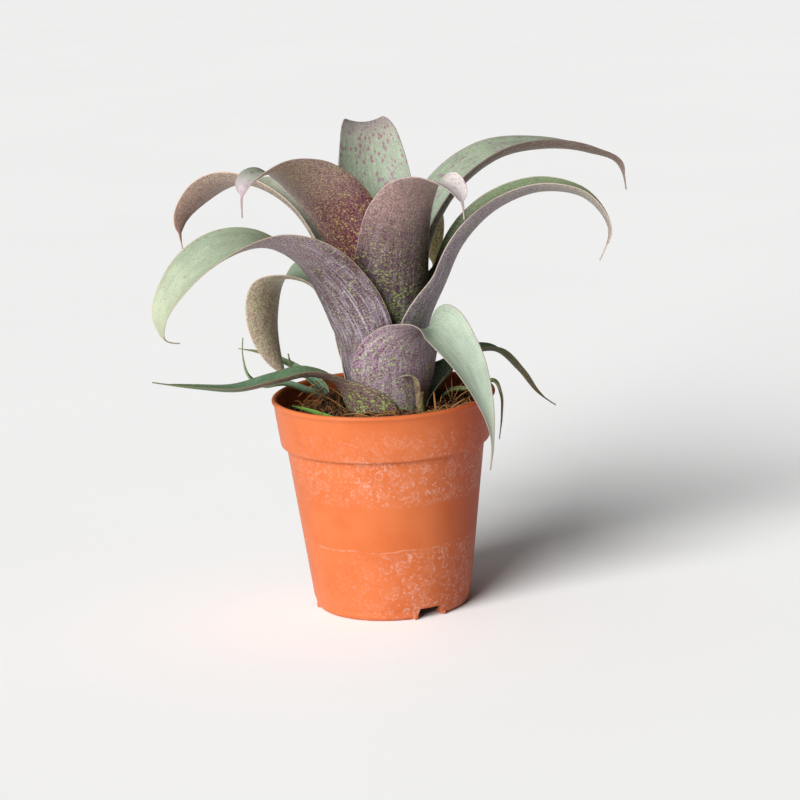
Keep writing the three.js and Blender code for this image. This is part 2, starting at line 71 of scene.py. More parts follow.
# The rosette: rings of sheaths on the stem's cone
GAP = 0.3
SOIL = 80.0
STEM_X = 2.0
RING_FIRST = 5.2
RING_PITCH = 1.5
FLARE_FIRST = 0.07
FLARE_STEP = 0.03
OUTER_RING = 7
OUTER_RADIUS = RING_FIRST + RING_PITCH * OUTER_RING
OUTER_FLARE = FLARE_FIRST + FLARE_STEP * OUTER_RING
STEM_TOP_Z = 79.0
STEM_SLOPE = 0.22
STEM_CROWN_RADIUS = 4.4
STEM_EDGE_RADIUS = 16.2
STEM_EDGE_Z = STEM_TOP_Z - STEM_SLOPE * (STEM_EDGE_RADIUS - RING_FIRST)
STEM_EDGE = 0.4
STEM_FOOT_RADIUS = 6.5
STEM_FOOT_Z = 60.0
LEAF_LIFT = 0.4
LEAF_THICKNESS = 0.8
SPIKE_WIDTH = 1.5
COLUMN_CROWD = 1.25
STATION_CROWD = 1.2
CURVE_STEPS = 800
OPEN_FROM = 0.85
LEAN_FROM = 0.9
LEAN_LENGTH = 22.0
HALF_THICKNESS = 0.43
MARGIN_THINNER = 0.45
TIP_THINNER = 0.3
RIM_ROUND = 0.8
FACES_APART = 40.0
FAR_FROM_MARGIN = 5.0
BUD_RADIUS = 4.0
BUD_LENGTH = 47.0
BUD_FIT = 0.97
BUD_TIP = 0.05
BUD_TAPER = 2.4
BUD_LAP = 0.2
BUD_TURNS = 0.6
SHOOT_THICKNESS = 0.7
SHOOT_FLARE = 0.1
SHOOT_FOOT_Z = 74.0
SHOOT_BASE_Z = 76.0
STUB_RINGS = 12
STUB_TAPER = 0.012
STUB_TIP = 0.55
STUB_ROUND = 0.3

# The mix; its swells are across, back, reach and height
SOIL_EDGE = 40.6
SOIL_SKIN = 0.4
MIX_ROOM = 0.6
MIX_FOOT_Z = 5.6
HOLE_ROOM = 0.85
MOUTH_ROOM = 0.45
MOUTH_OVER_SOIL = 3.5
MOUTH = OUTER_RADIUS + LEAF_THICKNESS / 2 + MOUTH_ROOM + OUTER_FLARE * (
    SOIL + MOUTH_OVER_SOIL - STEM_EDGE_Z)
SWELLS = ((3.0, -6.0, 25.0, 4.4), (-27.0, 22.0, 12.6, -2.2))
CRUMB_LEAST = 0.35
CRUMB_SPREAD = 1.15
CRUMB_ROOM = 0.8
FIBRE_POINTS = 10
FIBRE_SIDES = 5
FIBRE_ROOM = 0.7
STRAW_POINTS = 12

# Textures: how many flecks, spots or grains a millimetre holds
FLECKS_PER_MM = 0.8
SPOTS_PER_MM = 0.42
SPECKS_PER_MM = 1.5
TONES_PER_MM = 1.6

Stops = tuple[tuple[float, str], ...]
Levels = tuple[tuple[float, float], ...]
Faces = list[tuple[int, ...]]


class Slot(Enum):
    """Names of the material slots."""

    PLASTIC = "pot_plastic"
    MIX = "potting_mix"
    PLANT = "plant_tissue"


def linear(code: str) -> tuple[float, float, float, float]:
    """Turns a colour such as "8a9a55" into linear light.

    Args:
        code: six hexadecimal digits, red, green and blue as a screen shows them.

    Returns:
        Red, green, blue and an alpha of one.
    """
    parts = [int(code[i:i + 2], 16) / 255 for i in (0, 2, 4)]
    light = [c / 12.92 if c <= 0.04045 else ((c + 0.055) / 1.055) ** 2.4 for c in parts]
    return (light[0], light[1], light[2], 1.0)


def smooth(x: np.ndarray) -> np.ndarray:
    """Eases values from 0 to 1."""
    x = np.clip(x, 0.0, 1.0)
    return x * x * (3.0 - 2.0 * x)


def unit(v: np.ndarray) -> np.ndarray:
    """Scales vectors in the last axis to length one."""
    return v / np.maximum(np.linalg.norm(v, axis=-1, keepdims=True), 1e-9)


def crowded(columns: int) -> np.ndarray:
    """Places from -1 to 1 that lie closer together near both ends."""
    v = np.linspace(-1, 1, columns)
    return np.sign(v) * (1 - (1 - np.abs(v)) ** COLUMN_CROWD)


def tube(rings: int, sides: int) -> Faces:
    """Faces of a closed tube.

    Args:
        rings: how many rings of corners it has.
        sides: how many corners a ring has.

    Returns:
        The sides' and both ends' faces.
    """
    faces = [(j * sides + i, j * sides + (i + 1) % sides, (j + 1) * sides + (i + 1) % sides,
              (j + 1) * sides + i) for j in range(rings - 1) for i in range(sides)]
    last = (rings - 1) * sides
    return faces + [tuple(range(sides))[::-1], tuple(range(last, last + sides))]


def link(name: str, data: object) -> bpy.types.Object:
    """Puts an object in the scene.

    Args:
        name: its name.
        data: its mesh, light or camera.

    Returns:
        The object.
    """
    made = bpy.data.objects.new(name, data)
    bpy.context.scene.collection.objects.link(made)
    return made


class Shader:
    """Node tree of one material, with short calls for the nodes that the finishes use."""

    def __init__(self, name: str) -> None:
        """Makes the material.

        Args:
            name: the material's name.
        """
        self.material = bpy.data.materials.new(name)
        self.material.use_nodes = True
        self.nodes = self.material.node_tree.nodes
        self.links = self.material.node_tree.links
        self.surface = self.nodes["Principled BSDF"]

    def put(self, kind: str, inputs: dict, output: int | str = 0, **settings: object) -> object:
        """Adds a node and links or sets its inputs.

        Args:
            kind: the node's type without the words ShaderNode.
            inputs: socket names or numbers with a value or another node's output.
            output: which output to return.
            **settings: the node's own options.

        Returns:
            The output socket.
        """
        node = self.nodes.new("ShaderNode" + kind)
        for key, value in settings.items():
            setattr(node, key, value)
        for key, value in inputs.items():
            if isinstance(value, bpy.types.NodeSocket):
                self.links.new(value, node.inputs[key])
            else:
                node.inputs[key].default_value = value
        return node.outputs[output]

    def attribute(self, name: str, output: str = "Fac") -> object:
        """Reads a value that the mesh carries."""
        return self.put("Attribute", {}, output, attribute_name=name)

    def place(self) -> object:
        """The point's place in the frame, in millimetres."""
        return self.stretch(self.put("TexCoord", {}, "Object"), (1 / MM,) * 3)

    def stretch(self, vector: object, scale: tuple, shift: tuple = (0, 0, 0)) -> object:
        """Scales and shifts a coordinate."""
        return self.put("Mapping", {"Vector": vector, "Scale": scale, "Location": shift})

    def noise(self, vector: object, scale: float, detail: float = 2.0, rough: float = 0.5,
              output: int = 0) -> object:
        """Soft noise, from 0 to 1."""
        return self.put("TexNoise", {"Vector": vector, "Scale": scale, "Detail": detail,
                                     "Roughness": rough}, output)

    def cells(self, vector: object, scale: float) -> tuple[object, object]:
        """Distance to the nearest of scattered points, and that point's own number."""
        distance = self.put("TexVoronoi", {"Vector": vector, "Scale": scale})
        return distance, distance.node.outputs["Color"]

    def math(self, operation: str, a: object, b: object = 0.0, c: object = 0.0,
             clamp: bool = False) -> object:
        """Arithmetic on one, two or three values."""
        return self.put("Math", {0: a, 1: b, 2: c}, operation=operation, use_clamp=clamp)

    def fused(self, a: object, b: object, c: object, clamp: bool = False) -> object:
        """The first value times the second, plus the third."""
        return self.math("MULTIPLY_ADD", a, b, c, clamp)

    def minus(self, a: object, b: object) -> object:
        """The first value less the second."""
        return self.math("SUBTRACT", a, b)

    def times(self, first: object, *others: object) -> object:
        """Product of all the values."""
        for value in others:
            first = self.math("MULTIPLY", first, value)
        return first

    def step(self, value: object, low: float, high: float, to: tuple = (0.0, 1.0)) -> object:
        """Eases from one level to another while the value runs from low to high."""
        return self.put("MapRange", {"Value": value, "From Min": low, "From Max": high,
                                     "To Min": to[0], "To Max": to[1]},
                        interpolation_type="SMOOTHSTEP")

    def ramp(self, value: object, stops: Stops | Levels) -> object:
        """Reads a colour or a number along a scale.

        Args:
            value: where to read, 0 to 1.
            stops: places with a colour or a number each.

        Returns:
            The colour output.
        """
        socket = self.put("ValToRGB", {"Fac": value})
        elements = socket.node.color_ramp.elements
        while len(elements) < len(stops):
            elements.new(1.0)
        for element, (at, level) in zip(elements, stops):
            element.position = at
            element.color = linear(level) if isinstance(level, str) else (*(level,) * 3, 1.0)
        return socket

    def blend(self, amount: object, a: object, b: object, kind: str = "MIX") -> object:
        """Mixes two colours, given as outputs or as codes such as "8a9a55"."""
        a, b = (linear(c) if isinstance(c, str) else c for c in (a, b))
        return self.put("Mix", {0: amount, 6: a, 7: b}, 2, data_type="RGBA", blend_type=kind)

    def dim(self, colour: object, factor: object) -> object:
        """Multiplies a colour by a number."""
        return self.blend(1.0, colour, factor, "MULTIPLY")

    def warp(self, vector: object, scale: float, reach: float) -> object:
        """Shifts a coordinate by noise, so that spots lose their round shape.

        Args:
            vector: the coordinate.
            scale: how many swells of the noise a millimetre holds.
            reach: how far it shifts.

        Returns:
            The coordinate output.
        """
        cloud = self.noise(vector, scale, 2.0, 0.5, 1)
        centred = self.put("VectorMath", {0: cloud, 1: (0.5, 0.5, 0.5)}, operation="SUBTRACT")
        return self.put("VectorMath", {0: centred, 1: (reach,) * 3, 2: vector},
                        operation="MULTIPLY_ADD")

    def finish(self, colour: object, rough: object, height: object, depth: float,
               gloss: float) -> bpy.types.Material:
        """Joins colour, roughness and relief to the surface.

        Args:
            colour: the colour output.
            rough: the roughness output.
            height: the relief's height output, 0 to 1.
            depth: the relief's depth in millimetres.
            gloss: the level of the mirror-like part of the light.

        Returns:
            The material.
        """
        relief = self.put("Bump", {"Height": height, "Strength": 1.0, "Distance": depth * MM})
        for key, value in (("Base Color", colour), ("Roughness", rough), ("Normal", relief)):
            self.links.new(value, self.surface.inputs[key])
        self.surface.inputs["Specular IOR Level"].default_value = gloss
        return self.material


@dataclass(frozen=True)
class LeafFinish:
    """Skin of a leaf: mottled purple with green flecks outside, spots on the inner face.

    All stops run from base to tip. The flecks' and spots' sizes are shares of their spacing.
    """

    name: str
    purple: Stops
    green: Stops
    flecks: Levels
    inner: Stops
    inner_spots: Levels = ((0.0, 0.0), (1.0, 0.0))
    inner_spot: str = "8a6a7c"
    margin: str = "cdb6a4"
    bloom: float = 0.3
    bloom_colour: str = "b9afb6"
    streaks: float = 0.0
    scratches: float = 0.3
    mottle: tuple[float, float] = (0.5, 1.55)
    seed: float = 0.0

    def material(self) -> bpy.types.Material:
        """Builds the finish."""
        return LeafCoat(self).coat()


class LeafCoat(Shader):
    """Node tree of a leaf's finish, laid by the blade's own coordinate in millimetres.

    Each texture has a stretch: across the leaf, along it and between its faces.
    """

    FLECKS = (0.75, 1.25, 1.0)
    SPECKS = (0.75, 1.35, 1.0)
    TONES = (0.7, 1.2, 1.0)
    SPOTS = (1.2, 0.9, 1.0)
    HAZE = (0.5, 0.12, 1.0)
    STREAKS = (0.8, 0.045, 1.0)
    SCRATCHES = (2.0, 0.14, 1.0)
    VEINS = (2.2, 0.035, 1.0)
    DUST = (1.3, 1.0, 1.0)

    def __init__(self, look: LeafFinish) -> None:
        """Reads what the blade's mesh carries.

        Args:
            look: the leaf's finish.
        """
        super().__init__(look.name)
        self.look = look
        self.grain = self.stretch(self.attribute("leaf", "Vector"), (1, 1, 1),
                                  (look.seed, 0, look.seed))
        self.along = self.attribute("along")
        self.face = self.attribute("face")
        self.edge = self.attribute("edge")

    def skin(self) -> object:
        """Mottles the outer face and flecks it.

        Returns:
            The colour output.
        """
        look, grain = self.look, self.grain
        size = self.ramp(self.along, look.flecks)
        patches = self.fused(self.noise(grain, 0.2, 3.0, 0.6), 0.8, -0.4)
        place = self.warp(self.stretch(grain, self.FLECKS), 1.6, 0.75)
        distance, chance = self.cells(place, FLECKS_PER_MM)
        reach = self.fused(chance, 0.4, self.minus(self.math("ADD", size, patches), 0.2))
        fleck = self.fused(self.minus(reach, distance), 5.0, 0.4, True)
        fine = self.stretch(grain, self.SPECKS, (5, 2, 0))
        fine = self.fused(size, 0.25, self.noise(fine, SPECKS_PER_MM, 1.0, 0.5))
        fine = self.step(fine, 0.6, 0.74, (0.0, 0.75))
        tone = self.noise(self.stretch(grain, self.TONES), TONES_PER_MM, 2.0, 0.7)
        green = self.ramp(self.along, look.green)
        purple = self.dim(self.ramp(self.along, look.purple),
                          self.step(tone, 0.36, 0.64, look.mottle))
        ground = self.blend(self.times(fine, 0.8), purple, green)
        return self.blend(self.times(fleck, 0.9), ground, green)

    def lining(self) -> object:
        """Clouds the inner face and spots it.

        Returns:
            The colour output.
        """
        look, grain = self.look, self.grain
        place = self.warp(self.stretch(grain, self.SPOTS), 0.8, 0.9)
        distance, chance = self.cells(place, SPOTS_PER_MM)
        crowd = self.step(self.noise(grain, 0.13, 2.0), 0.32, 0.58, (0.5, 1.0))
        size = self.times(self.ramp(self.along, look.inner_spots), self.step(chance, 0.05, 0.55),
                          crowd)
        spots = self.fused(self.minus(size, distance), 5.5, 0.2, True)
        cloud = self.step(self.noise(grain, 0.12, 3.0), 0.3, 0.7, (0.9, 1.08))
        frost = self.step(self.noise(grain, 1.1, 3.0, 0.7), 0.42, 0.7, (0.0, 0.3))
        ground = self.blend(frost, self.dim(self.ramp(self.along, look.inner), cloud), "b9b8ac")
        return self.blend(self.times(spots, 0.8), ground, look.inner_spot)

    def waxed(self, colour: object) -> object:
        """Adds the whitish bloom, its wiped streaks and fine scratches.

        Args:
            colour: the skin's colour.

        Returns:
            The colour output.
        """
        look, grain = self.look, self.grain
        fade = self.ramp(self.along, ((0.0, 1.0), (0.35, 0.9), (0.6, 0.4), (1.0, 0.2)))
        haze = self.noise(self.stretch(grain, self.HAZE), 1.0, 4.0, 0.65)
        haze = self.times(self.step(haze, 0.4, 0.7, (0.0, look.bloom)), fade)
        colour = self.blend(haze, colour, look.bloom_colour)
        streak = self.noise(self.stretch(grain, self.STREAKS, (2, 5, 0)), 1.0, 2.0, 0.6)
        streak = self.times(self.step(streak, 0.55, 0.68, (0.0, look.streaks)), fade)
        colour = self.blend(streak, colour, look.bloom_colour)
        marks = self.noise(self.stretch(grain, self.SCRATCHES, (3, 7, 0)), 1.0, 1.0)
        return self.blend(self.step(marks, 0.72, 0.8, (0.0, look.scratches)), colour, "b5a8a8")

    def coat(self) -> bpy.types.Material:
        """Joins both faces under the veins, the speckle and the broken margin.

        Returns:
            The material.
        """
        grain, face = self.grain, self.face
        colour = self.blend(face, self.waxed(self.skin()), self.lining())
        veins = self.noise(self.stretch(grain, self.VEINS), 1.0, 2.0, 0.6)
        veined = self.dim(colour, self.step(veins, 0.3, 0.7, (0.88, 1.1)))
        colour = self.blend(self.fused(face, 0.6, 0.4), colour, veined)
        dust = self.noise(self.stretch(grain, self.DUST), SPECKS_PER_MM, 2.0, 0.7)
        dusty = self.dim(colour, self.step(dust, 0.36, 0.64, (0.64, 1.36)))
        colour = self.blend(self.fused(face, -0.7, 1.0), colour, dusty)
        ragged = self.fused(self.noise(grain, 0.7, 2.0), 0.5, self.edge)
        colour = self.blend(self.step(ragged, 0.56, 0.36, (0.0, 0.55)), colour, self.look.margin)
        rough = self.step(veins, 0.3, 0.75, (0.42, 0.6))
        height = self.fused(veins, 0.6, self.times(dust, 0.4))
        return self.finish(colour, rough, height, depth=0.16, gloss=0.35)


@dataclass(frozen=True)
class PotFinish:
    """Terracotta-coloured moulded plastic with dried water marks.

    The marks leave a clean belt between two heights in millimetres.
    """

    name: str = "terracotta_plastic"
    body: str = "be663b"
    shade: str = "b85f34"
    # Redder, darker colour painted over the pot's right side as shade
    painted_right_shade: str = "ad4728"
    lime: str = "d2b6ac"
    # Stain from the mix on the inner face, made darker as painted shade
    stain_and_shade: str = "4a2014"
    clean_low: float = 30.0
    clean_high: float = 47.5

    def material(self) -> bpy.types.Material:
        """Builds the finish."""
        return PotCoat(self).coat()


class PotCoat(Shader):
    """Node tree of the pot's finish, laid by the place in the frame."""

    def __init__(self, look: PotFinish) -> None:
        """Reads the point's place.

        Args:
            look: the pot's finish.
        """
        super().__init__(look.name)
        self.look = look
        self.spot = self.place()
        self.height = self.put("SeparateXYZ", {"Vector": self.spot}, "Z")
        self.x = self.height.node.outputs["X"]

    def marks(self, place: object, spacing: float, ring: float, line: float,
              share: float) -> object:
        """Outlines left by dried drops.

        Args:
            place: the point's place in millimetres.
            spacing: the drops' distance from each other in millimetres.
            ring: the largest outline's radius in millimetres.
            line: the outline's width in millimetres.
            share: how much of the drops left no mark, 0 to 1.

        Returns:
            How strongly the mark shows, 0 to 1.
        """
        distance, chance = self.cells(self.warp(place, 0.6, 1.1), 1 / spacing)
        radius = self.fused(chance, ring / spacing, 0.2 * ring / spacing)
        away = self.math("ABSOLUTE", self.minus(distance, radius))
        outline = self.step(away, line / spacing, 0.3 * line / spacing)
        mark = self.fused(self.math("LESS_THAN", distance, radius), 0.3, outline, True)
        broken = self.step(self.noise(place, 0.7, 2.0), 0.35, 0.62, (0.15, 1.0))
        return self.times(mark, self.times(self.step(chance, share, share + 0.05), broken))

    def zone(self, wavy: object) -> object:
        """Where the lime may lie: over and under the clean belt, less so to the left.

        Args:
            wavy: the height, made uneven.

        Returns:
            The share, 0 to 1.
        """
        belt = self.look
        low = self.times(self.step(wavy, belt.clean_low, belt.clean_low - 2.0),
                         self.step(self.x, -26.0, 18.0, (0.15, 1.0)))
        high = self.times(self.step(wavy, belt.clean_high, belt.clean_high + 2.5),
                          self.step(self.height, BAND_FOOT_Z - 1, BAND_FOOT_Z + 4, (1.0, 0.5)),
                          self.step(self.height, POT_HEIGHT - 11, POT_HEIGHT - 4, (1.0, 0.1)),
                          self.step(self.x, -42.0, 24.0, (0.45, 1.0)))
        return self.math("MAXIMUM", low, high)

    def lime(self) -> object:
        """How thickly the lime lies: drops of three sizes, a film and a tide line.

        Returns:
            The lime's strength, 0 to 1.
        """
        spot = self.spot
        wavy = self.fused(self.noise(spot, 0.12, 3.0), 4.0, self.minus(self.height, 2.0))
        apart = self.stretch(spot, (1, 1, 0.8), (40, 9, 3))
        large = self.marks(apart, spacing=6.5, ring=2.6, line=0.28, share=0.6)
        drops = self.marks(spot, spacing=3.2, ring=2.0, line=0.24, share=0.45)
        dots = self.marks(spot, spacing=1.4, ring=0.5, line=0.2, share=0.42)
        lime = self.math("MAXIMUM", drops, dots)
        lime = self.times(lime, self.step(self.noise(spot, 0.09, 2.0), 0.4, 0.6, (0.6, 1.0)))
        lime = self.math("MAXIMUM", lime, self.times(large, 0.55))
        film = self.step(self.noise(spot, 0.5, 4.0, 0.7), 0.45, 0.75, (0.0, 0.2))
        lime = self.times(self.math("MAXIMUM", lime, film), self.zone(wavy))
        tide = self.math("ABSOLUTE", self.minus(wavy, self.look.clean_low))
        tide = self.times(self.step(tide, 0.38, 0.08),
                          self.step(self.noise(spot, 0.35, 2.0), 0.42, 0.6, (0.05, 0.6)))
        return self.math("MAXIMUM", lime, tide)

    def stain_and_shade_share(self) -> object:
        """Where the wall's inner face above the band is darkened: a stain from the mix, and painted
        shade inside the rim.

        Returns:
            The strength of the stain and painted shade, 0 to 1.
        """
        flat = self.stretch(self.spot, (1, 1, 0))
        radius = self.put("VectorMath", {0: flat}, "Value", operation="LENGTH")
        lean = (RIM_RADIUS - 1 - BAND_FOOT_RADIUS) / (POT_HEIGHT - BAND_FOOT_Z)
        outer = self.fused(self.height, lean, BAND_FOOT_RADIUS - lean * BAND_FOOT_Z)
        return self.times(self.step(self.minus(outer, radius), 0.7, 1.2),
                          self.step(self.height, POT_HEIGHT - 0.6, POT_HEIGHT - 2.5),
                          self.step(self.height, BAND_FOOT_Z + 0.8, BAND_FOOT_Z + 2.0),
                          self.step(self.noise(self.spot, 0.25, 3.0, 0.6), 0.3, 0.7, (0.78, 1.0)))

    def coat(self) -> bpy.types.Material:
        """Joins the plastic, its right side made redder and darker by painted shade, the inner stain
        with painted shade, and the lime.

        Returns:
            The material.
        """
        look, spot = self.look, self.spot
        cloud = self.step(self.noise(spot, 0.05, 3.0, 0.55), 0.35, 0.65)
        colour = self.blend(cloud, look.body, look.shade)
        # Painted shade: the right side is blended towards a redder, darker colour
        colour = self.blend(self.step(self.x, 12.0, 42.0, (0.0, 0.9)), colour, look.painted_right_shade)
        # Stain from the mix, darkened further as painted shade inside the rim
        colour = self.blend(self.stain_and_shade_share(), colour, look.stain_and_shade)
        lime = self.times(self.lime(), 0.46)
        colour = self.blend(lime, colour, look.lime)
        relief = self.fused(self.noise(spot, 1.2, 3.0, 0.6), 0.3, self.times(lime, 0.7))
        return self.finish(colour, self.fused(lime, 0.35, 0.4), relief, depth=0.04, gloss=0.12)


@dataclass(frozen=True)
class MixFinish:
    """Damp peat, bark bits or coir fibre; every bit carries its own shade."""

    name: str
    dark: str
    light: str

    def material(self) -> bpy.types.Material:
        """Builds the finish.

        Returns:
            The material.
        """
        shader = Shader(self.name)
        grain = shader.noise(shader.place(), 1.6, 4.0, 0.7)
        shade = shader.fused(shader.attribute("shade"), 0.9, -0.25)
        colour = shader.blend(shader.fused(grain, 0.5, shade, True), self.dark, self.light)
        rough = shader.step(grain, 0.3, 0.7, (0.75, 0.98))
        return shader.finish(colour, rough, grain, depth=0.3, gloss=0.25)


@dataclass(frozen=True)
class FloorFinish:
    """Plain pale floor with faint clouds."""

    name: str = "pale_floor"
    colour: str = "fbfbfa"
    cloud: str = "f9f9f8"

    def material(self) -> bpy.types.Material:
        """Builds the finish.

        Returns:
            The material.
        """
        shader = Shader(self.name)
        cloud = shader.noise(shader.place(), 0.004, 2.0)
        colour = shader.blend(shader.step(cloud, 0.3, 0.7), self.colour, self.cloud)
        rough = shader.step(cloud, 0.3, 0.7, (0.85, 0.92))
        return shader.finish(colour, rough, cloud, depth=0.01, gloss=0.1)


@dataclass
class Body:
    """Points, faces and values of a mesh in the making, in millimetres."""

    points: list[np.ndarray] = field(default_factory=list)
    faces: Faces = field(default_factory=list)
    values: dict[str, list[np.ndarray]] = field(default_factory=dict)

    def add(self, points: np.ndarray, faces: Faces, **values: np.ndarray) -> None:
        """Adds a closed shell.

        Args:
            points: its corners.
            faces: its faces, numbered from its own first corner.
            **values: one number or vector for each corner, for the finishes.
        """
        start = sum(len(p) for p in self.points)
        self.points.append(points)
        self.faces.extend([tuple(start + i for i in f) for f in faces])
        for key, value in values.items():
            self.values.setdefault(key, []).append(np.asarray(value, float))

    def make(self, name: str, finish: bpy.types.Material) -> bpy.types.Object:
        """Makes the object, which rides on the pot.

        Args:
            name: the piece's name.
            finish: its material.

        Returns:
            The object.
        """
        mesh = bpy.data.meshes.new(name)
        mesh.from_pydata((np.concatenate(self.points) * MM).tolist(), [], self.faces)
        for key, parts in self.values.items():
            value = np.concatenate(parts).astype(np.float32)
            kind, socket = ("FLOAT_VECTOR", "vector") if value.ndim == 2 else ("FLOAT", "value")
            mesh.attributes.new(key, kind, "POINT").data.foreach_set(socket, value.ravel())
        mesh.polygons.foreach_set("use_smooth", [True] * len(mesh.polygons))
        mesh.materials.append(finish)
        mesh.update()
        piece = link(name, mesh)
        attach(piece, "root")
        LOG.info("%s: %d faces", name, len(mesh.polygons))
        return piece


@dataclass
class Leaf:
    """One blade: a sheath on a ring about its axis, then a trough along an arching midrib.

    The midrib's rows are out, sideways and up over the mix, and a roll in degrees.
    """

    name: str
    az: float
    width: float
    wrap: float
    sheath: float
    dish: tuple[float, ...]
    midrib: tuple[tuple[float, ...], ...]
    finish: LeafFinish | None = None
    ring: int = 0
    radius: float = 0.0
    flare: float = 0.0
    base_z: float = 0.0
    axis: tuple[float, float] = (STEM_X, 0.0)
    tip: float = 7.0
    grow: float = 25.0
    taper: float = 2.2
    blunt: float = 0.75
    thickness: float = LEAF_THICKNESS
    stations: int = 150
    columns: int = 29

    def __post_init__(self) -> None:
        """A leaf of the rosette takes its foot from its ring."""
        if not self.radius:
            self.radius = RING_FIRST + RING_PITCH * self.ring
            self.flare = FLARE_FIRST + FLARE_STEP * self.ring
            self.base_z = STEM_TOP_Z - STEM_SLOPE * (self.radius - RING_FIRST) + LEAF_LIFT

    @staticmethod
    def curve(knots: np.ndarray, rows: np.ndarray, at: np.ndarray) -> np.ndarray:
        """Cubic curve through rows of numbers at uneven knots.

        Args:
            knots: the rows' places along the curve.
            rows: the rows.
            at: where to read the curve.

        Returns:
            One row for each place.
        """
        step = np.diff(knots)
        pace = np.diff(rows, axis=0) / step[:, None]
        slope = np.empty_like(rows)
        slope[1:-1] = (pace[:-1] * step[1:, None] + pace[1:] * step[:-1, None])
        slope[1:-1] /= (step[:-1] + step[1:])[:, None]
        slope[0] = 1.5 * pace[0] - 0.5 * slope[1]
        slope[-1] = 1.5 * pace[-1] - 0.5 * slope[-2]
        i = np.clip(np.searchsorted(knots, at, side="right") - 1, 0, len(knots) - 2)
        u = ((at - knots[i]) / step[i])[:, None]
        h = step[i][:, None]
        return ((2 * u**3 - 3 * u**2 + 1) * rows[i] + (u**3 - 2 * u**2 + u) * h * slope[i]
                + (3 * u**2 - 2 * u**3) * rows[i + 1] + (u**3 - u**2) * h * slope[i + 1])

    def rib(self) -> tuple[np.ndarray, np.ndarray, float]:
        """Midrib in the leaf's own upright plane.

        Returns:
            Its rows of out, sideways, height and roll by station, each station's distance
            from the base, and that of the sheath's top.
        """
        top = SOIL + self.sheath
        rise = self.flare * (top - self.base_z)
        rows = [(self.radius, 0.0, self.base_z, 0.0),
                (self.radius + rise / 2, 0.0, (self.base_z + top) / 2, 0.0),
                (self.radius + rise, 0.0, top, 0.0)]
        for out, side, up, *roll in self.midrib:
            rows.append((out, side, SOIL + up, roll[0] if roll else 0.0))
        rows = np.array(rows, float)
        gaps = np.linalg.norm(np.diff(rows[:, :3], axis=0), axis=1)
        knots = np.concatenate([[0.0], np.cumsum(gaps)])
        fine = np.linspace(0.0, knots[-1], CURVE_STEPS)
        path = self.curve(knots, rows, fine)[:, :3]
        run = np.concatenate([[0.0], np.cumsum(np.linalg.norm(np.diff(path, axis=0), axis=1))])
        s = run[-1] * (1 - (1 - np.linspace(0, 1, self.stations)) ** STATION_CROWD)
        return self.curve(knots, rows, np.interp(s, run, fine)), s, np.interp(knots[2], fine, run)

    def middle(self) -> tuple[np.ndarray, np.ndarray, np.ndarray, np.ndarray]:
        """Middle surface of the leaf.

        Returns:
            Its points by station and column, each station's distance from the base,
            each station's width, and 0 to 1 from the base to the tip.
        """
        rib, s, held = self.rib()
        length = s[-1]
        roll = np.radians(rib[:, 3])[:, None]
        rib = rib[:, :3]
        along = unit(np.gradient(rib, s, axis=0))
        side = unit(np.stack([-rib[:, 1], rib[:, 0], 0 * s], -1))
        side = unit(side - along * (along * side).sum(1, keepdims=True))
        face = np.cross(along, side)
        across = side * np.cos(roll) + face * np.sin(roll)
        upper = face * np.cos(roll) - side * np.sin(roll)
        u = np.clip((s - held) / (length - self.tip - held), 0, 1)
        opened = smooth((s - held * OPEN_FROM) / self.grow)
        lean = smooth((s - held * LEAN_FROM) / min(LEAN_LENGTH, self.grow))[:, None]
        dish = np.radians(np.interp(u, np.linspace(0, 1, len(self.dish)), self.dish))
        half = math.radians(self.wrap) * (1 - opened) + dish * opened
        spike = SPIKE_WIDTH * np.where(u > 0.3, np.clip((length - s) / self.tip, 0.3, 1), 1.0)
        blade = self.width * (1 - u ** self.taper) ** self.blunt + spike
        full = 2 * math.radians(self.wrap) * rib[:, 0] * (1 - opened) + blade * opened
        towards = unit(np.array([-1.0, 0, 0]) * (1 - lean) + upper * lean)
        angle = half[:, None] * crowded(self.columns)[None, :]
        bend = (full / (2 * half))[:, None]
        points = (rib[:, None] + (bend * np.sin(angle))[..., None] * across[:, None]
                  + (bend * (1 - np.cos(angle)))[..., None] * towards[:, None])
        c, d = math.cos(math.radians(self.az)), math.sin(math.radians(self.az))
        turned = np.stack([points[..., 0] * c - points[..., 1] * d + self.axis[0],
                           points[..., 0] * d + points[..., 1] * c + self.axis[1],
                           points[..., 2]], -1)
        return turned, s, full, s / length

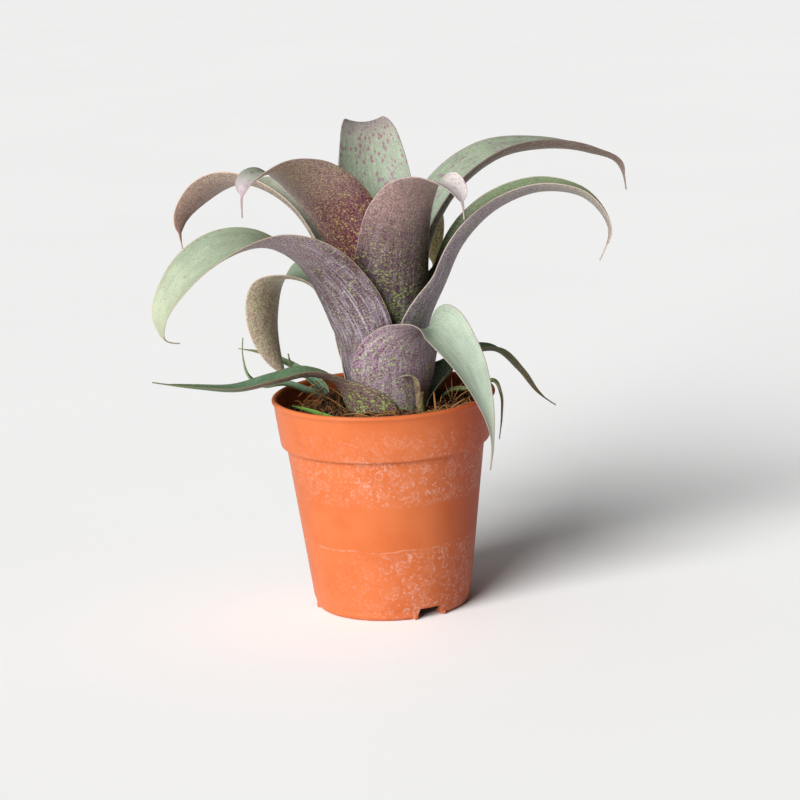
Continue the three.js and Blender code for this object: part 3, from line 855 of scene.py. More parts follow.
    def add_to(self, body: Body) -> None:
        """Adds the leaf's closed shell, thinner towards its round margins.

        Args:
            body: the mesh in the making.
        """
        grid, s, full, share = self.middle()
        n, m = grid.shape[:2]
        v = crowded(m)
        along = unit(np.gradient(grid, axis=0))
        across = unit(np.gradient(grid, axis=1))
        normal = unit(np.cross(along, across))
        thinner = (1 - MARGIN_THINNER * np.abs(v) ** 3)[None, :, None]
        half = HALF_THICKNESS * self.thickness * thinner
        half = half * (1 - TIP_THINNER * share ** 4)[:, None, None]
        rim = half[:, -1] * RIM_ROUND
        loop = np.concatenate([grid + normal * half, (grid[:, -1] + across[:, -1] * rim)[:, None],
                               (grid - normal * half)[:, ::-1],
                               (grid[:, 0] - across[:, 0] * rim)[:, None]], axis=1)
        ring_v = np.concatenate([v, [1.0], v[::-1], [-1.0]])
        ring_face = np.concatenate([np.ones(m), [0.5], np.zeros(m), [0.5]])
        k = 2 * m + 2
        faces = [(j + i, j + (i + 1) % k, j + k + (i + 1) % k, j + k + i)
                 for j in range(0, (n - 1) * k, k) for i in range(k)]
        for start, turn in ((0, 1), ((n - 1) * k, -1)):
            for i in range(m - 1):
                quad = (start + i, start + k - 2 - i, start + k - 3 - i, start + i + 1)
                faces.append(quad[::turn])
            faces.append((start + m - 1, start + m + 1, start + m)[::turn])
            faces.append((start, start + k - 1, start + k - 2)[::turn])
        rows = (n, k)
        sheet = np.stack([np.broadcast_to(ring_v * full.max() / 2, rows),
                          np.broadcast_to(s[:, None], rows),
                          np.broadcast_to(ring_face * FACES_APART, rows)], -1)
        edge = (1 - np.abs(ring_v))[None, :] * full[:, None] / 2
        body.add(loop.reshape(-1, 3), faces, leaf=sheet.reshape(-1, 3), edge=edge.ravel(),
                 face=np.broadcast_to(ring_face, rows).ravel(),
                 along=np.broadcast_to(share[:, None], rows).ravel())

    def build(self) -> bpy.types.Object:
        """Makes the leaf, which stands for its plain solid.

        Returns:
            The object.
        """
        body = Body()
        self.add_to(body)
        piece = body.make(self.name + "_blade", self.finish.material())
        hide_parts(self.name)
        return piece


# Skins of the leaves, the shoots and the bud
MAUVE_LEFT_UPPER = LeafFinish(
    "skin_left_upper", seed=3.1,
    purple=((0.0, "521a2c"), (0.5, "521a2e"), (0.6, "643840"), (0.7, "866a64"), (1.0, "ac9088")),
    green=((0.0, "a48a44"), (0.5, "a58f4e"), (0.65, "a08f64"), (1.0, "b0a288")),
    flecks=((0.0, 0.36), (0.5, 0.28), (0.62, 0.26), (0.8, 0.34)),
    inner=((0.0, "6f7f58"), (0.6, "84907a"), (0.85, "9aa48c"), (0.93, "a89aa0"),
           (0.97, "8e4a72"), (1.0, "6a3a4c")),
    inner_spots=((0.0, 0.3), (0.8, 0.36), (0.92, 0.5), (1.0, 0.5)), inner_spot="8e5a7c",
    margin="a98d80", bloom=0.15, streaks=0.15, scratches=0.2)
MAUVE_FRONT_CENTRE = LeafFinish(
    "skin_front_centre", seed=11.7,
    purple=((0.0, "331f2c"), (0.3, "3d2532"), (0.5, "462d36"), (0.6, "644b4d"), (0.68, "8f726f"),
            (1.0, "a08a84")),
    green=((0.0, "67762e"), (0.4, "788640"), (0.6, "86805a"), (1.0, "968476")),
    flecks=((0.0, 0.32), (0.35, 0.33), (0.5, 0.22), (0.7, 0.16)),
    inner=((0.0, "84907a"), (0.7, "a0a08e"), (0.85, "d4ccc5"), (1.0, "cfc2c2")),
    inner_spots=((0.0, 0.2), (0.7, 0.4), (1.0, 0.5)), inner_spot="a07f96", margin="b09690",
    bloom=0.2, streaks=0.2, scratches=0.8, mottle=(0.64, 1.36))
MAUVE_LEFT_BIG = LeafFinish(
    "skin_left_big", seed=19.3,
    purple=((0.0, "67545f"), (0.3, "4f3540"), (0.42, "513640"), (0.58, "9c878e"), (1.0, "a0948a")),
    green=((0.0, "7c8060"), (0.4, "83845e"), (0.7, "868a6a"), (1.0, "969a84")),
    flecks=((0.0, 0.24), (0.4, 0.25), (0.7, 0.3), (1.0, 0.38)),
    inner=((0.0, "7c8c6e"), (0.5, "87957c"), (0.75, "96a388"), (0.95, "989f84"), (1.0, "7d6c66")),
    inner_spots=((0.0, 0.2), (0.4, 0.3), (0.8, 0.3), (1.0, 0.2)), inner_spot="847c7a",
    margin="b8a07e", bloom=0.4, bloom_colour="aaa4b0", streaks=0.6, scratches=0.5)
MAUVE_LEFT_UPPER_BACK = LeafFinish(
    "skin_left_upper_back", seed=27.9,
    purple=((0.0, "5a4244"), (0.45, "77605a"), (0.7, "957c71"), (1.0, "6f4a42")),
    green=((0.0, "7a7c50"), (0.5, "949264"), (1.0, "a1977c")),
    flecks=((0.0, 0.36), (0.5, 0.36), (1.0, 0.2)),
    # The inner face's pale colour from its base to the middle is lightened further as painted light,
    # where this face lies in the shade of the left upper leaf
    inner=((0.0, "dcdac6"), (0.5, "d8d6c4"), (0.7, "949a84"), (1.0, "948c7a")),
    inner_spots=((0.0, 0.4), (1.0, 0.3)))
MAUVE_LEFT_LOW_BACK = LeafFinish(
    "skin_left_low_back", seed=35.3,
    purple=((0.0, "9a7c80"), (0.4, "a48a80"), (0.7, "a58c80"), (1.0, "a88c80")),
    green=((0.0, "a8b084"), (0.5, "b4b680"), (1.0, "bcbc98")),
    flecks=((0.0, 0.4), (0.4, 0.42), (0.7, 0.44), (1.0, 0.4)), mottle=(0.62, 1.4),
    inner=((0.0, "6a7c64"), (0.5, "768a72"), (1.0, "868f78")), bloom=0.2, streaks=0.3)
SPOTTED_BACK_TOP = LeafFinish(
    "skin_back_top", seed=43.1,
    purple=((0.0, "54404a"), (1.0, "74625e")), green=((0.0, "7c825a"), (1.0, "90906e")),
    flecks=((0.0, 0.36), (1.0, 0.3)),
    inner=((0.0, "7a8469"), (0.45, "828e78"), (0.66, "86917c"), (0.76, "948b84"), (1.0, "98a08e")),
    inner_spots=((0.0, 0.46), (0.6, 0.5), (1.0, 0.48)), inner_spot="84586a", margin="84686c")
SPOTTED_RIGHT_UPPER = LeafFinish(
    "skin_right_upper", seed=51.7,
    purple=((0.0, "4c3834"), (0.35, "5c443e"), (0.6, "70584e"), (1.0, "80685e")),
    green=((0.0, "74784a"), (0.5, "837e60"), (1.0, "908674")),
    flecks=((0.0, 0.34), (0.5, 0.32), (1.0, 0.3)),
    inner=((0.0, "7c8a72"), (0.45, "86947e"), (0.8, "8c957e"), (1.0, "8a866c")),
    inner_spots=((0.0, 0.42), (0.5, 0.42), (1.0, 0.3)), margin="94787c")
MAUVE_RIGHT_MIDDLE = LeafFinish(
    "skin_right_middle", seed=59.9,
    purple=((0.0, "645360"), (0.35, "755f6e"), (0.6, "8a7681"), (0.8, "988d85"), (1.0, "7a6660")),
    green=((0.0, "767e64"), (0.5, "85886c"), (1.0, "98988a")),
    flecks=((0.0, 0.32), (0.5, 0.34), (0.8, 0.4), (1.0, 0.3)),
    inner=((0.0, "343e1e"), (0.4, "44522c"), (0.65, "5c6e4a"), (0.85, "727c5c"), (1.0, "76685a")),
    bloom=0.45, bloom_colour="a9a6ae", streaks=0.35)
MAUVE_FRONT_LOW = LeafFinish(
    "skin_front_low", seed=67.3,
    purple=((0.0, "8a6c7a"), (0.15, "765a6a"), (0.4, "725666"), (1.0, "7a6c70")),
    green=((0.0, "9cbc58"), (0.2, "93a860"), (0.6, "8c9674"), (1.0, "909a80")),
    flecks=((0.0, 0.42), (0.1, 0.28), (0.2, 0.2), (0.42, 0.24), (0.6, 0.4)),
    inner=((0.0, "84907a"), (0.4, "909e8a"), (0.75, "96a492"), (0.95, "929680"), (1.0, "7f6f5a")),
    inner_spots=((0.0, 0.2), (0.4, 0.25), (1.0, 0.25)), inner_spot="847c7a",
    margin="a88e88", bloom=0.35, streaks=0.3, scratches=0.5)
OLIVE_BACK_INNER = LeafFinish(
    "skin_back_inner", seed=75.1,
    purple=((0.0, "54421e"), (0.5, "5e4a26"), (1.0, "6a5844")),
    green=((0.0, "86863a"), (0.5, "84823e"), (1.0, "8c8652")),
    flecks=((0.0, 0.44), (1.0, 0.44)),
    inner=((0.0, "6c7e60"), (0.6, "7c8e72"), (1.0, "8c967e")), bloom=0.05, scratches=0.1)
PALE_BACK_LOW = LeafFinish(
    "skin_back_low", seed=83.9,
    purple=((0.0, "5a4650"), (1.0, "766868")), green=((0.0, "7c8260"), (1.0, "8e9072")),
    flecks=((0.0, 0.36), (1.0, 0.42)),
    inner=((0.0, "6c7e60"), (0.6, "7e8e72"), (1.0, "8a9478")))
NARROW_LEFT = LeafFinish(
    "skin_left_narrow", seed=91.3,
    purple=((0.0, "5a3a44"), (0.3, "65434a"), (0.55, "5e463e"), (0.8, "4f5e48"), (1.0, "6a5e40")),
    green=((0.0, "96b452"), (0.2, "828a50"), (0.45, "6c7c54"), (0.8, "4a6e50"), (1.0, "5e7848")),
    flecks=((0.0, 0.36), (0.2, 0.3), (0.6, 0.34), (0.8, 0.8)),
    inner=((0.0, "667044"), (0.35, "4c6c48"), (0.6, "44684a"), (1.0, "5a7044")),
    margin="7a624a", bloom=0.1, scratches=0.1)
NARROW_RIGHT = LeafFinish(
    "skin_right_narrow", seed=99.7,
    purple=((0.0, "3f3a2e"), (0.6, "504630"), (1.0, "6a523e")),
    green=((0.0, "425a34"), (0.6, "4a5834"), (1.0, "605c3a")),
    flecks=((0.0, 0.7), (0.6, 0.5), (1.0, 0.3)),
    inner=((0.0, "365430"), (0.5, "445a36"), (0.8, "585a36"), (1.0, "786448")),
    margin="6a5a40", bloom=0.1, scratches=0.1)
HEART_RIGHT = LeafFinish(
    "skin_heart_right", seed=107.1,
    purple=((0.0, "3f2d22"), (1.0, "523c2e")), green=((0.0, "5e5e2c"), (1.0, "6c6a3e")),
    flecks=((0.0, 0.4), (1.0, 0.42)), inner=((0.0, "646e40"), (1.0, "7e8a60")),
    inner_spots=((0.0, 0.3), (1.0, 0.3)), inner_spot="5a3f40", bloom=0.05, scratches=0.0)
HEART_LEFT = replace(HEART_RIGHT, name="skin_heart_left", seed=115.9,
                     purple=((0.0, "443028"), (1.0, "563f33")))
OFFSET_GREEN = LeafFinish(
    "skin_offset_green", seed=123.3,
    purple=((0.0, "3c2e20"), (0.12, "4a4230"), (0.25, "4e6a4e"), (1.0, "5c6a46")),
    green=((0.0, "54482e"), (0.12, "606244"), (0.25, "64886c"), (0.7, "6a8c58"), (1.0, "7c7a50")),
    flecks=((0.0, 0.4), (1.0, 0.6)),
    inner=((0.0, "4e5038"), (0.25, "64886c"), (0.7, "6c8e5a"), (1.0, "7c7a50")), margin="6e6e4a",
    bloom=0.1, scratches=0.0)
BLADE_GREEN = LeafFinish(
    "skin_blade_green", seed=127.3,
    purple=((0.0, "406018"), (1.0, "4c7020")), green=((0.0, "558a20"), (1.0, "669a30")),
    flecks=((0.0, 0.6), (1.0, 0.7)), inner=((0.0, "568a20"), (1.0, "6a9c34")), margin="3c5a20",
    bloom=0.0, scratches=0.0)
OLIVE_TUBE = LeafFinish(
    "skin_olive_tube", seed=131.1,
    purple=((0.0, "5e4030"), (0.6, "664e3c"), (1.0, "786a50")),
    green=((0.0, "6e783c"), (0.5, "6c6a3e"), (1.0, "84906c")),
    flecks=((0.0, 0.36), (1.0, 0.5)),
    inner=((0.0, "748a60"), (0.6, "7e926c"), (1.0, "8e9c7e")), margin="927668", bloom=0.1,
    scratches=0.0)
SPRING_GREEN_TUBE = LeafFinish(
    "skin_spring_green_tube", seed=147.7,
    purple=((0.0, "504a2e"), (0.4, "5e583e"), (1.0, "746252")),
    green=((0.0, "729834"), (0.3, "7a9642"), (0.6, "7c9056"), (1.0, "867c60")),
    flecks=((0.0, 0.6), (1.0, 0.5)),
    inner=((0.0, "749250"), (0.6, "7e9260"), (1.0, "8e8c70")), margin="927668", bloom=0.1,
    scratches=0.0)
ROLLED_BUD = LeafFinish(
    "skin_bud", seed=139.3, purple=((0.0, "6a764e"), (1.0, "7a765e")),
    green=((0.0, "7a885a"), (1.0, "869670")), flecks=((0.0, 0.5), (1.0, 0.5)),
    inner=((0.0, "7a885a"), (1.0, "869670")), bloom=0.1, scratches=0.0)

LEAVES = (
    Leaf("heart_leaf_right", 330, 20, 82, 40, (75, 60, 45, 30),
         ((8.2, 0, 56), (9.6, 0, 68), (12, 0, 77), (15.5, 0, 81)), HEART_RIGHT, 0),
    Leaf("heart_leaf_left", 150, 16, 82, 38, (75, 60, 45, 30),
         ((8, 0, 52), (8.6, 0, 62), (9.6, 0, 69), (11, 0, 73)), HEART_LEFT, 0),
    Leaf("back_top_leaf", 96, 40.5, 80, 46, (78, 50, 30, 25),
         ((15, 0, 72), (21, 0, 93), (31, 0, 106.4), (45, 0, 110.25), (58, 0, 102), (63, 0, 88)),
         SPOTTED_BACK_TOP, 1, taper=1.75, blunt=1.05),
    Leaf("left_upper_back_leaf", 147, 31, 60, 44, (58, 50, 35, 28),
         ((25, 0, 62), (37, 0, 78, 3), (53, 0, 86.5, 8), (71.5, 0, 88.3, 17),
          (88.5, 0, 81.5, 26), (99, 0, 70, 26), (98.5, 0, 60, 18)), MAUVE_LEFT_UPPER_BACK, 3),
    Leaf("left_upper_leaf", 214, 38, 78, 50, (70, 50, 38, 30),
         ((17, 0, 68, 18), (26, 0, 86, 26), (38, 0, 97, 22), (50.5, 0, 101.5, 10),
          (61, 0, 98.3), (63.5, 0, 86)), MAUVE_LEFT_UPPER, 2, tip=9.0, taper=2.6, blunt=0.6),
    Leaf("right_upper_leaf", 28, 26, 82, 48, (72, 65, 55, 40),
         ((21, 0, 66.5), (34, 0, 85, 4), (52, 0, 95.4, 4), (76, 0, 97.5), (98, 0, 93.5),
          (113, 0, 86.5), (116, 0, 76)), SPOTTED_RIGHT_UPPER, 2),
    Leaf("front_centre_leaf", 288, 35.5, 72, 50, (60, 52, 38, 30),
         ((19, 2, 66), (23, 4.4, 82), (30, 7.6, 91.8), (39, 12.8, 95.6), (46, 17, 92.6),
          (48, 18.5, 82)), MAUVE_FRONT_CENTRE, 3, taper=2.6, blunt=0.8),
    Leaf("right_middle_leaf", 358, 27, 72, 38, (46, 60, 50, 35),
         ((24.5, 0, 50), (33, 0, 66.8, 2), (47, 0, 80, 2), (66.5, 0, 86), (82, 0, 82, -2),
          (90.5, 0, 69), (86.5, 0, 57)), MAUVE_RIGHT_MIDDLE, 4),
    Leaf("left_low_back_leaf", 150, 24, 40, 26, (44, 46, 35, 30),
         ((21.6, 0, 38), (30, 0, 49.2, -4), (43, 0, 52, -8), (52.5, 0, 46, 12),
          (56, 0, 33, 18), (53, 0, 19, 12), (47, 0, 9)), MAUVE_LEFT_LOW_BACK, 4,
         tip=4.0, taper=2.2, blunt=0.55),
    Leaf("left_big_leaf", 236, 33.6, 43, 36, (41, 48, 40, 30),
         ((24.5, -5, 48, 8), (33.5, -12.5, 63.5, 9), (46.5, -23, 72.5, 1),
          (61.5, -33.5, 71.5, -12), (76, -42, 62, -17), (83.9, -46.5, 48, -12), (83, -46, 41),
          (78, -43, 39)), MAUVE_LEFT_BIG, 5),
    Leaf("back_inner_leaf", 71, 26, 26, 30, (30, 44, 38, 30),
         ((22, 0, 44), (30, 0, 58), (41, 0, 68), (54, 0, 68), (64, 0, 56), (66, 0, 41)),
         OLIVE_BACK_INNER, 5),
    Leaf("front_low_leaf", 292, 26.5, 72, 16, (38, 42, 38, 40),
         ((21.4, 0, 25.5), (24.2, 3.2, 33, 4), (30, 8.5, 37.7, 20), (38.5, 15, 29, 26),
          (44, 21.5, 12, 28), (45, 25, -6, 29), (41.8, 25, -20, 31)),
         MAUVE_FRONT_LOW, 6, tip=14.0, taper=1.6, blunt=1.2),
    Leaf("back_low_leaf", 104, 24, 59, 12, (38, 46, 38, 30),
         ((22, 0, 22), (31, 0, 29), (44, 0, 29), (56, 0, 20), (62, 0, 5), (61, 0, -6)),
         PALE_BACK_LOW, 6),
    Leaf("left_narrow_leaf", 215, 14, 66, 4, (26, 50, 45, 30),
         ((23, -2, 13.6), (33, -6, 18), (46, -11, 16.8), (60, -18, 14.6), (74, -26, 16.8),
          (89, -34, 20.4)), NARROW_LEFT, 7, grow=13.0),
    Leaf("right_narrow_leaf", 22, 12, 50, 4, (26, 50, 38, 30),
         ((26, 0, 12), (36, 0, 18), (47, 0, 18.3), (58, 0, 8.6), (66, 0, -1.6), (74, 0, -8)),
         NARROW_RIGHT, 7, grow=18.0),
)


@dataclass
class Shoot:
    """Small shoot beside the rosette: a stub in the mix and thin blades about it."""

    name: str
    at: tuple[float, float]
    stub: float
    finish: LeafFinish
    blades: tuple[Leaf, ...]
    stub_top: float = 81.0
    sides: int = 28

    def build(self) -> bpy.types.Object:
        """Makes the shoot, which stands for its plain solid.

        Returns:
            The object.
        """
        heights = np.linspace(SHOOT_FOOT_Z, self.stub_top - STUB_ROUND, STUB_RINGS)
        rings = [(self.stub * (1 - STUB_TAPER * i), z) for i, z in enumerate(heights)]
        rings.append((self.stub * STUB_TIP, self.stub_top))
        points = np.array([[self.at[0] + r * math.cos(a), self.at[1] + r * math.sin(a), z]
                           for r, z in rings
                           for a in np.linspace(0, 2 * math.pi, self.sides, endpoint=False)])
        count = len(points)
        body = Body()
        body.add(points, tube(len(rings), self.sides), leaf=points[:, [0, 2, 1]] * (1.5, 1, 1),
                 edge=np.full(count, FAR_FROM_MARGIN), face=np.zeros(count),
                 along=np.full(count, 0.05))
        for part in self.blades:
            replace(part, axis=self.at).add_to(body)
        piece = body.make(self.name + "_blades", self.finish.material())
        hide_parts(self.name)
        return piece


def blade(**shape: object) -> Leaf:
    """A thin blade, which takes its axis from its shoot."""
    return Leaf("blade", flare=SHOOT_FLARE, base_z=SHOOT_BASE_Z, stations=90, columns=13,
                thickness=SHOOT_THICKNESS, **shape)


SHOOTS = (
    Shoot("offset_shoot", (-23, 13), 3.0, OFFSET_GREEN, (
        blade(az=135, radius=1.4, wrap=45, sheath=4, width=4.5, dish=(50, 45, 35, 30), tip=6,
              grow=6, midrib=((8, 0, 8.5), (17.5, -1.5, 11.7), (30, -3, 14.3), (42, -3, 16.2),
                              (55, -3, 16.6))),
        blade(az=180, radius=2.3, wrap=45, sheath=3, width=6.5, dish=(50, 45, 35, 30), tip=8,
              grow=6, midrib=((9, 0, 6), (17, 0, 9), (26, 1, 9), (31, 2, 13), (33, 3, 22),
                              (32.5, 3.5, 30))),
        blade(az=100, radius=1.7, wrap=32, sheath=4, width=2.6, dish=(50, 45, 35, 30), tip=5,
              grow=5, midrib=((6, 2, 8), (14, 8, 10), (20, 11, 13), (21, 12, 18)))),
          stub_top=84.5),
    Shoot("front_shoot", (14.5, -19), 2.0, OLIVE_TUBE, (
        blade(az=200, radius=0.1, wrap=80, sheath=13, width=3.4, dish=(70, 50, 40, 30), tip=4,
              grow=5, midrib=((2, 0, 15.5), (3.8, 0, 17.3), (6.4, 0, 17.7), (9.6, 0, 17))),),
          stub_top=91.0),
    Shoot("left_shoot", (-18, -29), 1.3, BLADE_GREEN, (
        blade(az=133, radius=0.4, wrap=70, sheath=2, width=2.6, dish=(60, 40, 35, 30), tip=4,
              grow=5, midrib=((4, 0, 2.6), (12, 0, 3.8), (20, 0, 4.7), (27, 0, 5.2))),)),
    Shoot("right_low_shoot", (22.5, 4), 1.7, SPRING_GREEN_TUBE, (
        blade(az=354, radius=0.8, wrap=70, sheath=2.5, width=4.2, dish=(60, 45, 35, 30), tip=5,
              grow=5, midrib=((5, 0, 5), (12, 0, 5.8), (18, 0, 8), (22.2, 0, 8.8), (24.7, 0, 3.4),
                              (24.8, 0, -5), (23.6, 0, -15))),)),
)


@dataclass
class HeartBud:
    """Rolled young leaf in the heart of the rosette: a cone whose section is a spiral."""

    radius: float = BUD_RADIUS
    length: float = BUD_LENGTH
    finish: LeafFinish = ROLLED_BUD
    stations: int = 60
    sides: int = 64

    def build(self) -> bpy.types.Object:
        """Makes the bud, which stands for its plain solid.

        Returns:
            The object.
        """
        foot = STEM_TOP_Z - STEM_SLOPE * (STEM_CROWN_RADIUS - RING_FIRST) + GAP
        t = np.linspace(0, 1, self.stations)[:, None]
        around = np.linspace(0, 1, self.sides, endpoint=False)[None, :]
        taper = self.radius * (1 - t ** BUD_TAPER) * BUD_FIT + BUD_TIP
        reach = taper * (1 - BUD_LAP * around)
        angle = 2 * math.pi * (around + BUD_TURNS * t)
        points = np.stack([STEM_X + reach * np.cos(angle), reach * np.sin(angle),
                           np.broadcast_to(foot + self.length * t, reach.shape)], -1)
        flat = points.reshape(-1, 3)
        sheet = np.stack([np.broadcast_to(around * 20, reach.shape).ravel(), flat[:, 2],
                          np.zeros(len(flat))], -1)
        body = Body()
        body.add(flat, tube(self.stations, self.sides), leaf=sheet, face=np.zeros(len(flat)),
                 edge=np.full(len(flat), FAR_FROM_MARGIN),
                 along=np.broadcast_to(t, reach.shape).ravel())
        piece = body.make("heart_bud_roll", self.finish.material())
        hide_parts("heart_bud")
        return piece


@dataclass
class NurseryPot:
    """Round tapered pot with a wide band under the rim and drain channels across its foot."""

    finish: PotFinish = PotFinish()
    segments: int = 224

    @staticmethod
    def wall_at(z: float) -> float:
        """Outer radius of the wall at a height, both in millimetres."""
        share = (z - FOOT_ROUND) / (BAND_FOOT_Z - FOOT_ROUND)
        return WALL_FOOT_RADIUS + (WALL_TOP_RADIUS - WALL_FOOT_RADIUS) * share

    @staticmethod
    def arc(r: float, z: float, radius: float, start: float, end: float, steps: int) -> list:
        """Round stretch of the section.

        Args:
            r: the centre's distance from the axis.
            z: the centre's height.
            radius: the arc's radius.
            start: its first angle in degrees.
            end: its last angle in degrees.
            steps: how many chords it has.

        Returns:
            Pairs of radius and height.
        """
        turns = [math.radians(start + (end - start) * i / steps) for i in range(steps + 1)]
        return [(r + radius * math.cos(a), z + radius * math.sin(a)) for a in turns]

    def section(self) -> list[tuple[float, float]]:
        """The wall's closed section from the middle of the underside to that of the floor.

        Returns:
            Pairs of radius and height.
        """
        step, band, inner = self.wall_at(STACK_STEP_Z), BAND_FOOT_RADIUS, BAND_FOOT_RADIUS - WALL
        return [
            (0, 0), (20, 0),
            *self.arc(FOOT_RADIUS - FOOT_ROUND, FOOT_ROUND, FOOT_ROUND, -90, 0, 8),
            (step - 0.02, STACK_STEP_Z - 0.15), (step + 0.04, STACK_STEP_Z + 0.02),
            (step + 0.24, STACK_STEP_Z + 0.2), (self.wall_at(5) + 0.28, STACK_STEP_Z + 0.5),
            (self.wall_at(18) + 0.2, 18), (self.wall_at(34) + 0.12, 34),
            (self.wall_at(50) + 0.05, 50), (self.wall_at(64), 64),
            (WALL_TOP_RADIUS - 0.02, BAND_FOOT_Z - 0.5), (WALL_TOP_RADIUS + 0.1, BAND_FOOT_Z - 0.25),
            (band - 0.35, BAND_FOOT_Z - 0.08), (band, BAND_FOOT_Z + 0.05),
            (band + 0.25, BAND_FOOT_Z + 0.4), (band + 0.4, BAND_FOOT_Z + 1),
            (band + 1.1, BAND_FOOT_Z + 6), (RIM_RADIUS - 1.2, POT_HEIGHT - 6),
            (RIM_RADIUS - 0.9, POT_HEIGHT - 3.2), (RIM_RADIUS - 0.7, POT_HEIGHT - 2.5),
            *self.arc(RIM_RADIUS - LIP_RADIUS, POT_HEIGHT - LIP_RADIUS, LIP_RADIUS, -42, 180, 16),
            (RIM_RADIUS - 2.3, POT_HEIGHT - 3), (inner + 0.9, BAND_FOOT_Z + 5),
            (inner + 0.4, BAND_FOOT_Z + 1.5), (inner - 0.1, BAND_FOOT_Z + 1.15),
            (WALL_TOP_RADIUS - WALL + 0.2, BAND_FOOT_Z + 0.7),
            (WALL_TOP_RADIUS - WALL, BAND_FOOT_Z + 0.3), (self.wall_at(40) - WALL, 40),
            *self.arc(FOOT_RADIUS - FOOT_ROUND - 0.2, FLOOR + 2, 2, 0, -90, 5),
            (15, FLOOR), (0, FLOOR),
        ]

    def turned(self) -> bpy.types.Object:
        """The section turned about the pot's axis.

        Returns:
            The plain shell as an object in metres.
        """
        points: list[tuple[float, float, float]] = []
        rows: list[list[int]] = []
        turns = [2 * math.pi * i / self.segments for i in range(self.segments)]
        for r, z in self.section():
            start = len(points)
            if r == 0:
                rows.append([start] * self.segments)
                points.append((0, 0, z * MM))
            else:
                rows.append(list(range(start, start + self.segments)))
                points += [(r * math.cos(a) * MM, r * math.sin(a) * MM, z * MM) for a in turns]
        faces = []
        for low, high in zip(rows, rows[1:]):
            for i in range(self.segments):
                j = (i + 1) % self.segments
                faces.append(tuple(dict.fromkeys((low[i], low[j], high[j], high[i]))))
        return self.solid("pot_shell", points, faces)

    @staticmethod
    def solid(name: str, points: list, faces: Faces) -> bpy.types.Object:
        """Links a plain object.

        Args:
            name: its name.
            points: its corners in metres.
            faces: its faces.

        Returns:
            The object.
        """
        mesh = bpy.data.meshes.new(name)
        mesh.from_pydata(points, [], faces)
        return link(name, mesh)

    def cut(self, shell: bpy.types.Object, ends: list, turn: float, operation: str) -> None:
        """Joins or cuts a prism and removes it.

        Args:
            shell: the object to change.
            ends: the corners of the prism's one end and then of its other, in millimetres.
            turn: its bearing in radians.
            operation: UNION or DIFFERENCE.
        """
        spin = Matrix.Rotation(turn, 4, "Z")
        points = [tuple(spin @ Vector((x * MM, y * MM, z * MM))) for x, y, z in ends]
        tool = self.solid("tool", points, tube(2, len(ends) // 2))
        step = shell.modifiers.new("cut", "BOOLEAN")
        step.operation = operation
        step.solver = "EXACT"
        step.object = tool
        shape = bpy.data.meshes.new_from_object(
            shell.evaluated_get(bpy.context.evaluated_depsgraph_get()))
        shell.modifiers.clear()
        shell.data = shape
        bpy.data.objects.remove(tool)

    def build(self) -> bpy.types.Object:
        """Makes the pot, which stands for its plain solid.

        Returns:
            The object.
        """
        shell = self.turned()
        w, v, h = CHANNEL_WIDTH / 2, CHANNEL_TOP_WIDTH / 2, CHANNEL_HEIGHT
        hood = [(-w - WALL, FLOOR / 3), (w + WALL, FLOOR / 3), (v + WALL, h + WALL),
                (-v - WALL, h + WALL)]
        tunnel = [(-w, -1), (w, -1), (w, 0), (v, h), (-v, h), (-w, 0)]
        drain = [(DRAIN_AT + x, y) for x, y in self.arc(0, 0, DRAIN_RADIUS, 0, 345, 23)]
        over = (CHANNEL_INNER - WALL, FOOT_RADIUS - WALL / 2)
        under = (CHANNEL_INNER, RIM_RADIUS)
        for i in range(CHANNELS):
            turn = math.radians(CHANNEL_AZIMUTH + 360 / CHANNELS * i)
            self.cut(shell, [(x, y, z) for x in over for y, z in hood], turn, "UNION")
            self.cut(shell, [(x, y, z) for x in under for y, z in tunnel], turn, "DIFFERENCE")
            self.cut(shell, [(x, y, z) for z in (h / 2, 2 * h) for x, y in drain], turn,
                     "DIFFERENCE")
        shell.name = shell.data.name = "pot_moulding"
        shell.data.materials.clear()
        shell.data.materials.append(self.finish.material())
        shell.data.shade_smooth()
        shell.data.set_sharp_from_angle(angle=math.radians(40))
        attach(shell, "root")
        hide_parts("pot")
        LOG.info("%s: %d faces", shell.name, len(shell.data.polygons))
        return shell


# Long straws and fibres over the mix: start, end, arch, thickness, shade
STRAWS = (
    ((20.6, -15.5, 81.5), (20.2, -14.5, 89.2), 0.0, 0.95, 0.95),
    ((25.0, -20.0, 82.3), (33.0, -11.0, 85.4), 0.3, 0.75, 1.0),
    ((27.0, -18.5, 82.6), (36.0, -13.5, 84.4), 0.6, 0.55, 0.85),
    ((27.0, -3.0, 83.0), (23.6, 1.0, 93.0), 0.4, 0.32, 0.8),
    ((27.5, -2.0, 83.0), (27.8, 3.0, 92.0), 0.5, 0.3, 0.9),
    ((28.0, -3.0, 83.0), (32.5, 2.0, 89.5), 0.6, 0.3, 0.75),
    ((28.5, -4.0, 83.0), (35.0, -3.0, 87.0), 0.5, 0.32, 0.95),
    ((-35.0, 14.0, 83.5), (-24.0, 10.0, 90.5), 1.0, 0.5, 0.75),
    ((-33.0, 8.0, 82.5), (-21.0, 6.5, 90.0), 0.5, 0.36, 0.6),
    ((-36.0, 6.0, 83.5), (-31.0, -12.0, 82.8), 2.0, 0.34, 0.8),
    ((-22.5, 9.5, 88.5), (-12.5, -9.5, 83.8), 0.8, 0.42, 0.85),
    ((-27.0, 7.0, 86.5), (-14.5, -14.5, 83.4), 0.7, 0.4, 0.7),
    ((-26.0, 9.0, 88.0), (-33.0, -3.0, 83.2), 1.0, 0.4, 0.9),
    ((-16.0, -22.0, 83.4), (-5.5, -29.0, 83.8), 0.8, 0.4, 0.9),
    ((-7.0, -30.5, 83.2), (5.0, -28.0, 84.0), 0.9, 0.38, 0.85),
    ((14.0, -28.0, 83.4), (24.0, -24.0, 83.2), 1.1, 0.42, 0.8),
)


